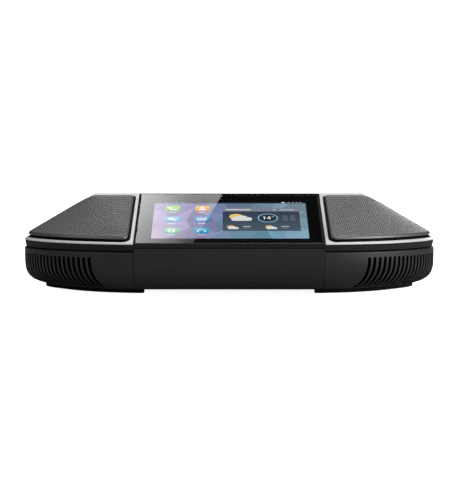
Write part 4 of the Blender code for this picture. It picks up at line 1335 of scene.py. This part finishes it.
def draw_panel(picture):
    """The weather panel: marks stand in for its words."""
    pale, dim = (226, 232, 236), (150, 160, 170)
    left, right, low, high = -4.6, 43.0, 18.2, 46.4
    x, width = (left + right) / 2, right - left
    picture.shape(
        [(left, high), (right, high), (right, 52.0), (left, 52.0)], (128, 140, 160), 1
    )
    picture.shape(
        [(left, low), (right, low), (right, high), (left, high)],
        (78, 96, 110),
        1,
        (60, 66, 84),
    )
    picture.bar(left + 9.5, 49.0, 16.0, 1.5, (230, 226, 216), 3)
    picture.bar(right - 7.5, 49.0, 9.0, 1.1, (206, 210, 214), 3)
    picture.bar(right - 15.5, 49.0, 2.0, 1.4, (206, 210, 214), 3)
    picture.shape(
        [(left, 27.6), (right, 27.6), (right, 27.8), (left, 27.8)], (104, 116, 130), 2
    )
    draw_weather_mark(picture, 6.3, 37.4, 13.0)
    picture.disc(23.3, 36.8, 6.0, (44, 56, 70), 2)
    picture.arc(23.3, 36.8, 6.3, 0.75, 0, 360, (150, 200, 228), 3)
    draw_digit(picture, "1", 21.2, 36.8, 4.4, (245, 248, 250))
    draw_digit(picture, "4", 23.9, 36.8, 4.4, (245, 248, 250))
    picture.arc(26.4, 38.6, 0.6, 0.25, 0, 360, (245, 248, 250), 6)
    for row in range(3):
        for column in range(2):
            picture.bar(
                34.0 + 4.6 * column, 39.6 - 2.8 * row, 3.2, 0.8, (132, 142, 150), 3
            )
    for at in (1.6, 25.0):
        draw_weather_mark(picture, at, 23.2, 6.6)
        picture.bar(at + 8.6, 24.4, 5.0, 1.3, (190, 198, 204), 3)
        picture.bar(at + 8.6, 21.8, 3.4, 0.8, (120, 132, 142), 3)


def draw_status_bar(picture):
    half = PICTURE_HALF / MM
    low, high = 58.6, DRAWN_TO
    picture.shape(
        [(-half, low), (half, low), (half, high), (-half, high)], (22, 32, 44), 1
    )
    for x in (-44.5, -40.5, -37.0, -33.5, -29.0):
        picture.bar(x, 59.8, 1.6, 1.0, (150, 160, 180), 3)
    picture.rounded(33.4, 59.8, 2.2, 1.4, 0.3, (236, 240, 244), 3)
    for x in (37.0, 39.6, 42.0, 44.4):
        picture.bar(x, 59.8, 1.5, 1.0, (170, 184, 196), 3)


def make_picture():
    picture = Picture()
    draw_wallpaper(picture)
    draw_status_bar(picture)
    draw_icons(picture)
    draw_panel(picture)
    up = Vector((0, 0, 1))
    picture.mesh.normal_update()
    for face in picture.mesh.faces:
        if face.normal.dot(up) < 0:
            face.normal_flip()
    mesh = bpy.data.meshes.new("display_picture")
    picture.mesh.to_mesh(mesh)
    picture.mesh.free()
    mesh.transform(TO_SLOPE @ Matrix.Translation((PICTURE_X, 0, 0)))
    obj = bpy.data.objects.new("display_picture", mesh)
    bpy.context.scene.collection.objects.link(obj)
    mesh.materials.append(lit_picture("lit_picture"))
    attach(obj, HOUSING)


# ---------------------------------------------------------------- sockets and screws


def make_screw_heads():
    """Pan heads with a cross recess, seen from below."""
    for name in CASE_SCREWS:
        low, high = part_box(name)
        x, y = (low.x + high.x) / 2, (low.y + high.y) / 2
        profile = [(0, 3.2), (1.7, 3.25), (2.4, 3.5), (2.8, 4.1), (2.8, 5.1)]
        profile += [(1.2, 5.1), (1.2, 15.4), (0.6, 16.6), (0, 17)]
        screw = turned(f"{name}_cross", profile, (x, y, 0), 32)
        for angle in (0, math.pi / 2):
            blade = box("blade", (-1.5 * MM, 1.5 * MM), (-0.25 * MM, 0.25 * MM), (2 * MM, 4.3 * MM))
            blade.data.transform(Matrix.Translation((0, 0, 0)) @ Matrix.Rotation(angle + 0.3, 4, "Z"))
            blade.location = (x, y, 0)
            bpy.context.view_layer.update()
            boolean(screw, blade, solver="EXACT")
        dressed(screw, FINISHES["steel"], name)


def make_contacts():
    """Gold spring contacts in the two network sockets, and a window over each status lamp."""
    gold = plated_steel("contact_gold", rgba(0.83, 0.58, 0.22), 0.25)
    lamp = moulded_plastic("lamp_window", rgba(0.35, 0.42, 0.30), 0.25)
    for name in ("ethernet_jack", "expansion_jack"):
        low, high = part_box(name)
        x, face, base = (low.x + high.x) / 2, high.y, low.z
        mesh = bmesh.new()
        for i in range(8):
            at = x + (i - 3.5) * 1.02 * MM
            path = [(-12.5, 10.6), (-4.0, 10.5), (-3.2, 10.0), (-10.5, 6.8)]
            half, thick = 0.2 * MM, 0.3 * MM
            sections = []
            for k, (dy, dz) in enumerate(path):
                y, z = face + dy * MM, base + dz * MM
                sections.append(
                    [
                        mesh.verts.new((at + sx * half, y, z + sz * thick / 2))
                        for sx, sz in ((-1, -1), (1, -1), (1, 1), (-1, 1))
                    ]
                )
            mesh.faces.new(sections[0][::-1])
            mesh.faces.new(sections[-1])
            for a, b in zip(sections, sections[1:]):
                for k in range(4):
                    m = (k + 1) % 4
                    mesh.faces.new((a[k], a[m], b[m], b[k]))
        pins = linked(f"{name}_contacts", mesh)
        dressed(pins, gold, slot="steel")
        for side in (-1, 1):
            middle = x + side * 6.9 * MM
            window = box(
                f"{name}_lamp_{'left' if side < 0 else 'right'}",
                (middle - 0.7 * MM, middle + 0.7 * MM),
                (face - 0.3 * MM, face + 0.15 * MM),
                (base + 2.0 * MM, base + 3.4 * MM),
            )
            bevelled(window, 0.1 * MM)
            dressed(window, lamp, slot="steel")


def dress_frame():
    """Every CAD piece that stays gets its finish, and a small round on its sharp edges where it can be seen."""
    for name, node in frame["nodes"].items():
        node.data.materials.clear()
        node.data.materials.append(FINISHES[SLOTS[name]])
    for name in ("ethernet_jack", "expansion_jack", "usb_port"):
        node = frame["nodes"][name]
        low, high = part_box(name)
        skin = Vector((0.75 * MM, 0, 0.75 * MM))
        node.data.materials.append(FINISHES["jack_black"])
        for face in node.data.polygons:
            centre = node.matrix_world @ face.center
            across = low.x + skin.x < centre.x < high.x - skin.x
            upright = low.z + skin.z < centre.z < high.z - skin.z
            if across and upright and centre.y < high.y - 0.1 * MM:
                face.material_index = 1
    for name in ("port_panel", "ethernet_jack", "expansion_jack", "usb_port", "power_jack"):
        modifier = frame["nodes"][name].modifiers.new("Bevel", "BEVEL")
        modifier.width = 0.2 * MM
        modifier.segments = 2
        modifier.limit_method = "ANGLE"


# ---------------------------------------------------------------- studio


def make_stage():
    """A white floor whose faint shadows fade out round the phone."""
    mesh = bmesh.new()
    bmesh.ops.create_grid(mesh, x_segments=1, y_segments=1, size=14)
    floor = linked("studio_floor", mesh)
    n = Nodes("floor_paper")
    tone = n.noise(3, 2.0)
    away = n.add("ShaderNodeVectorMath", operation="LENGTH")
    n.put(away.inputs[0], n.place)
    seen = n.add("ShaderNodeBsdfDiffuse")
    n.put(seen.inputs["Color"], n.mix(tone, rgba(0.90), rgba(0.92)))
    lift = n.add("ShaderNodeEmission", Color=rgba(1.0))
    n.put(lift.inputs["Strength"], n.ramp(away.outputs["Value"], FLOOR_GLOW, 1.02, 0.15, 0.5))
    pale = n.add("ShaderNodeAddShader")
    n.put(pale.inputs[0], seen.outputs[0])
    n.put(pale.inputs[1], lift.outputs[0])
    shade = n.add("ShaderNodeBsdfDiffuse", Color=rgba(FLOOR_BOUNCE))
    path = n.add("ShaderNodeLightPath")
    blend = n.add("ShaderNodeMixShader")
    n.put(blend.inputs[0], path.outputs["Is Camera Ray"])
    n.put(blend.inputs[1], shade.outputs[0])
    n.put(blend.inputs[2], pale.outputs[0])
    below = n.add("ShaderNodeNewGeometry").outputs["Backfacing"]
    under = n.maths("MULTIPLY", below, path.outputs["Is Camera Ray"])
    one_sided = n.add("ShaderNodeMixShader")
    n.put(one_sided.inputs[0], n.maths("MAXIMUM", under, path.outputs["Is Shadow Ray"]))
    n.put(one_sided.inputs[1], blend.outputs[0])
    n.put(one_sided.inputs[2], n.add("ShaderNodeBsdfTransparent").outputs[0])
    n.put(n.output.inputs[0], one_sided.outputs[0])
    floor.location.z = -0.1 * MM
    floor.data.materials.append(n.material)


def area_light(name, location, target, size, power, glossy=True, colour=(1, 1, 1)):
    light = bpy.data.lights.new(name, "AREA")
    light.shape = "RECTANGLE"
    light.size, light.size_y = size
    light.energy = power
    light.color = colour
    obj = bpy.data.objects.new(name, light)
    obj.location = location
    aim = Vector(target) - Vector(location)
    obj.rotation_euler = aim.to_track_quat("-Z", "Y").to_euler()
    obj.visible_glossy = glossy
    obj.visible_camera = False
    bpy.context.scene.collection.objects.link(obj)


def card_level(x, s):
    """Brightness of the card where the glass mirrors it, x across and s up the slope in millimetres."""
    share = s / 72
    low = max(0.3, 2.88 - 0.0803 * (x + 53.9))
    high = max(2.0, 4.3 - 0.083 * (x + 52.9))
    return max(0.2, low + (high - low) * share)


def make_card():
    """A lit card that the left of the screen mirrors: bright at its outer edge, with a straight slanted cut edge."""
    centre = Vector((0, FRONT_Y + 33 * MM, 44 * MM))
    eye = Vector(CAMERA)
    normal = Vector((0, -math.sin(TILT), math.cos(TILT)))
    along = (centre - eye).normalized()
    axis = along - 2 * along.dot(normal) * normal
    plane = centre + axis * 1.3

    def mirrored_point(x, s):
        p = TO_SLOPE @ Vector((x * MM, s * MM, 0))
        d = (p - eye).normalized()
        r = d - 2 * d.dot(normal) * normal
        return p + r * ((plane - p).dot(axis) / r.dot(axis))

    mesh = bmesh.new()
    shade = mesh.verts.layers.float_color.new("shade")
    steps = 14
    grid = []
    for j in range(steps + 1):
        s = -10 + 92 * j / steps
        edge = -21.6 + 17.1 * s / 72
        row = []
        for i in range(steps + 1):
            x = -78 + (edge + 78) * i / steps
            vert = mesh.verts.new(mirrored_point(x, s))
            level = card_level(x, s)
            vert[shade] = (level, level, level * 1.02, 1)
            row.append(vert)
        grid.append(row)
    for a, b in zip(grid, grid[1:]):
        for i in range(steps):
            mesh.faces.new((a[i], a[i + 1], b[i + 1], b[i]))
    card = linked("light_card", mesh)
    n = Nodes("light_card")
    level = n.add("ShaderNodeVertexColor", layer_name="shade")
    glow = n.add("ShaderNodeEmission", Strength=1.0)
    n.put(glow.inputs["Color"], level.outputs["Color"])
    n.put(n.output.inputs[0], glow.outputs[0])
    card.data.materials.append(n.material)
    card.visible_camera = False
    card.visible_diffuse = False
    card.visible_shadow = False


def make_world():
    world = bpy.data.worlds.new("studio")
    world.use_nodes = True
    tree = world.node_tree
    tree.nodes.clear()
    output = tree.nodes.new("ShaderNodeOutputWorld")
    seen = tree.nodes.new("ShaderNodeBackground")
    seen.inputs["Color"].default_value = rgba(1.0)
    seen.inputs["Strength"].default_value = 1.05
    room = tree.nodes.new("ShaderNodeBackground")
    place = tree.nodes.new("ShaderNodeTexCoord")
    split = tree.nodes.new("ShaderNodeSeparateXYZ")
    fade = tree.nodes.new("ShaderNodeMapRange")
    fade.inputs["From Min"].default_value = -0.5
    fade.inputs["From Max"].default_value = 0.35
    fade.inputs["To Min"].default_value = ROOM_FRONT
    fade.inputs["To Max"].default_value = ROOM_BACK
    path = tree.nodes.new("ShaderNodeLightPath")
    blend = tree.nodes.new("ShaderNodeMixShader")
    links = tree.links
    links.new(place.outputs["Generated"], split.inputs[0])
    links.new(split.outputs["Y"], fade.inputs["Value"])
    links.new(fade.outputs["Result"], room.inputs["Strength"])
    links.new(path.outputs["Is Camera Ray"], blend.inputs[0])
    links.new(room.outputs[0], blend.inputs[1])
    links.new(seen.outputs[0], blend.inputs[2])
    links.new(blend.outputs[0], output.inputs[0])
    bpy.context.scene.world = world


def make_camera():
    data = bpy.data.cameras.new("camera")
    data.sensor_width = 36
    data.lens = 103.8
    camera = bpy.data.objects.new("camera", data)
    camera.location = CAMERA
    camera.rotation_euler = (math.pi / 2 - CAMERA_PITCH, 0, 0)
    data.clip_start, data.clip_end = 0.01, 100
    bpy.context.scene.collection.objects.link(camera)
    bpy.context.scene.camera = camera


CAMERA = (-0.0005, FRONT_Y - 0.853, 0.0779)
CAMERA_PITCH = math.radians(3.39)
FLOOR_GLOW = 0.93
FLOOR_BOUNCE = 0.30
ROOM_FRONT = 0.27
ROOM_BACK = 0.02

dress_frame()
make_hull()
make_fascia()
make_top_cover()
make_trims()
make_grilles()
make_feet()
make_glass()
make_picture()
make_screw_heads()
make_contacts()

make_stage()
make_card()
make_world()
area_light("key_right", (1.2, -0.55, 0.45), (0.05, 0, 0.03), (0.7, 0.5), 17)
area_light("crown", (0.35, -0.5, 1.0), (0, 0, 0.03), (0.8, 0.35), 5)
area_light("fill_left", (-1.1, -0.5, 0.7), (0, 0, 0.03), (0.6, 0.6), 4)
area_light("top", (0, 0.1, 1.2), (0, 0, 0), (1.0, 0.6), 9, glossy=False)
area_light("rear", (0.2, 1.5, 0.5), (0, 0, 0.03), (0.9, 0.5), 6)
area_light("under", (0.1, -0.2, -0.9), (0, 0, 0), (1.0, 0.8), 1.5)
make_camera()
bpy.context.scene.view_settings.view_transform = "Standard"
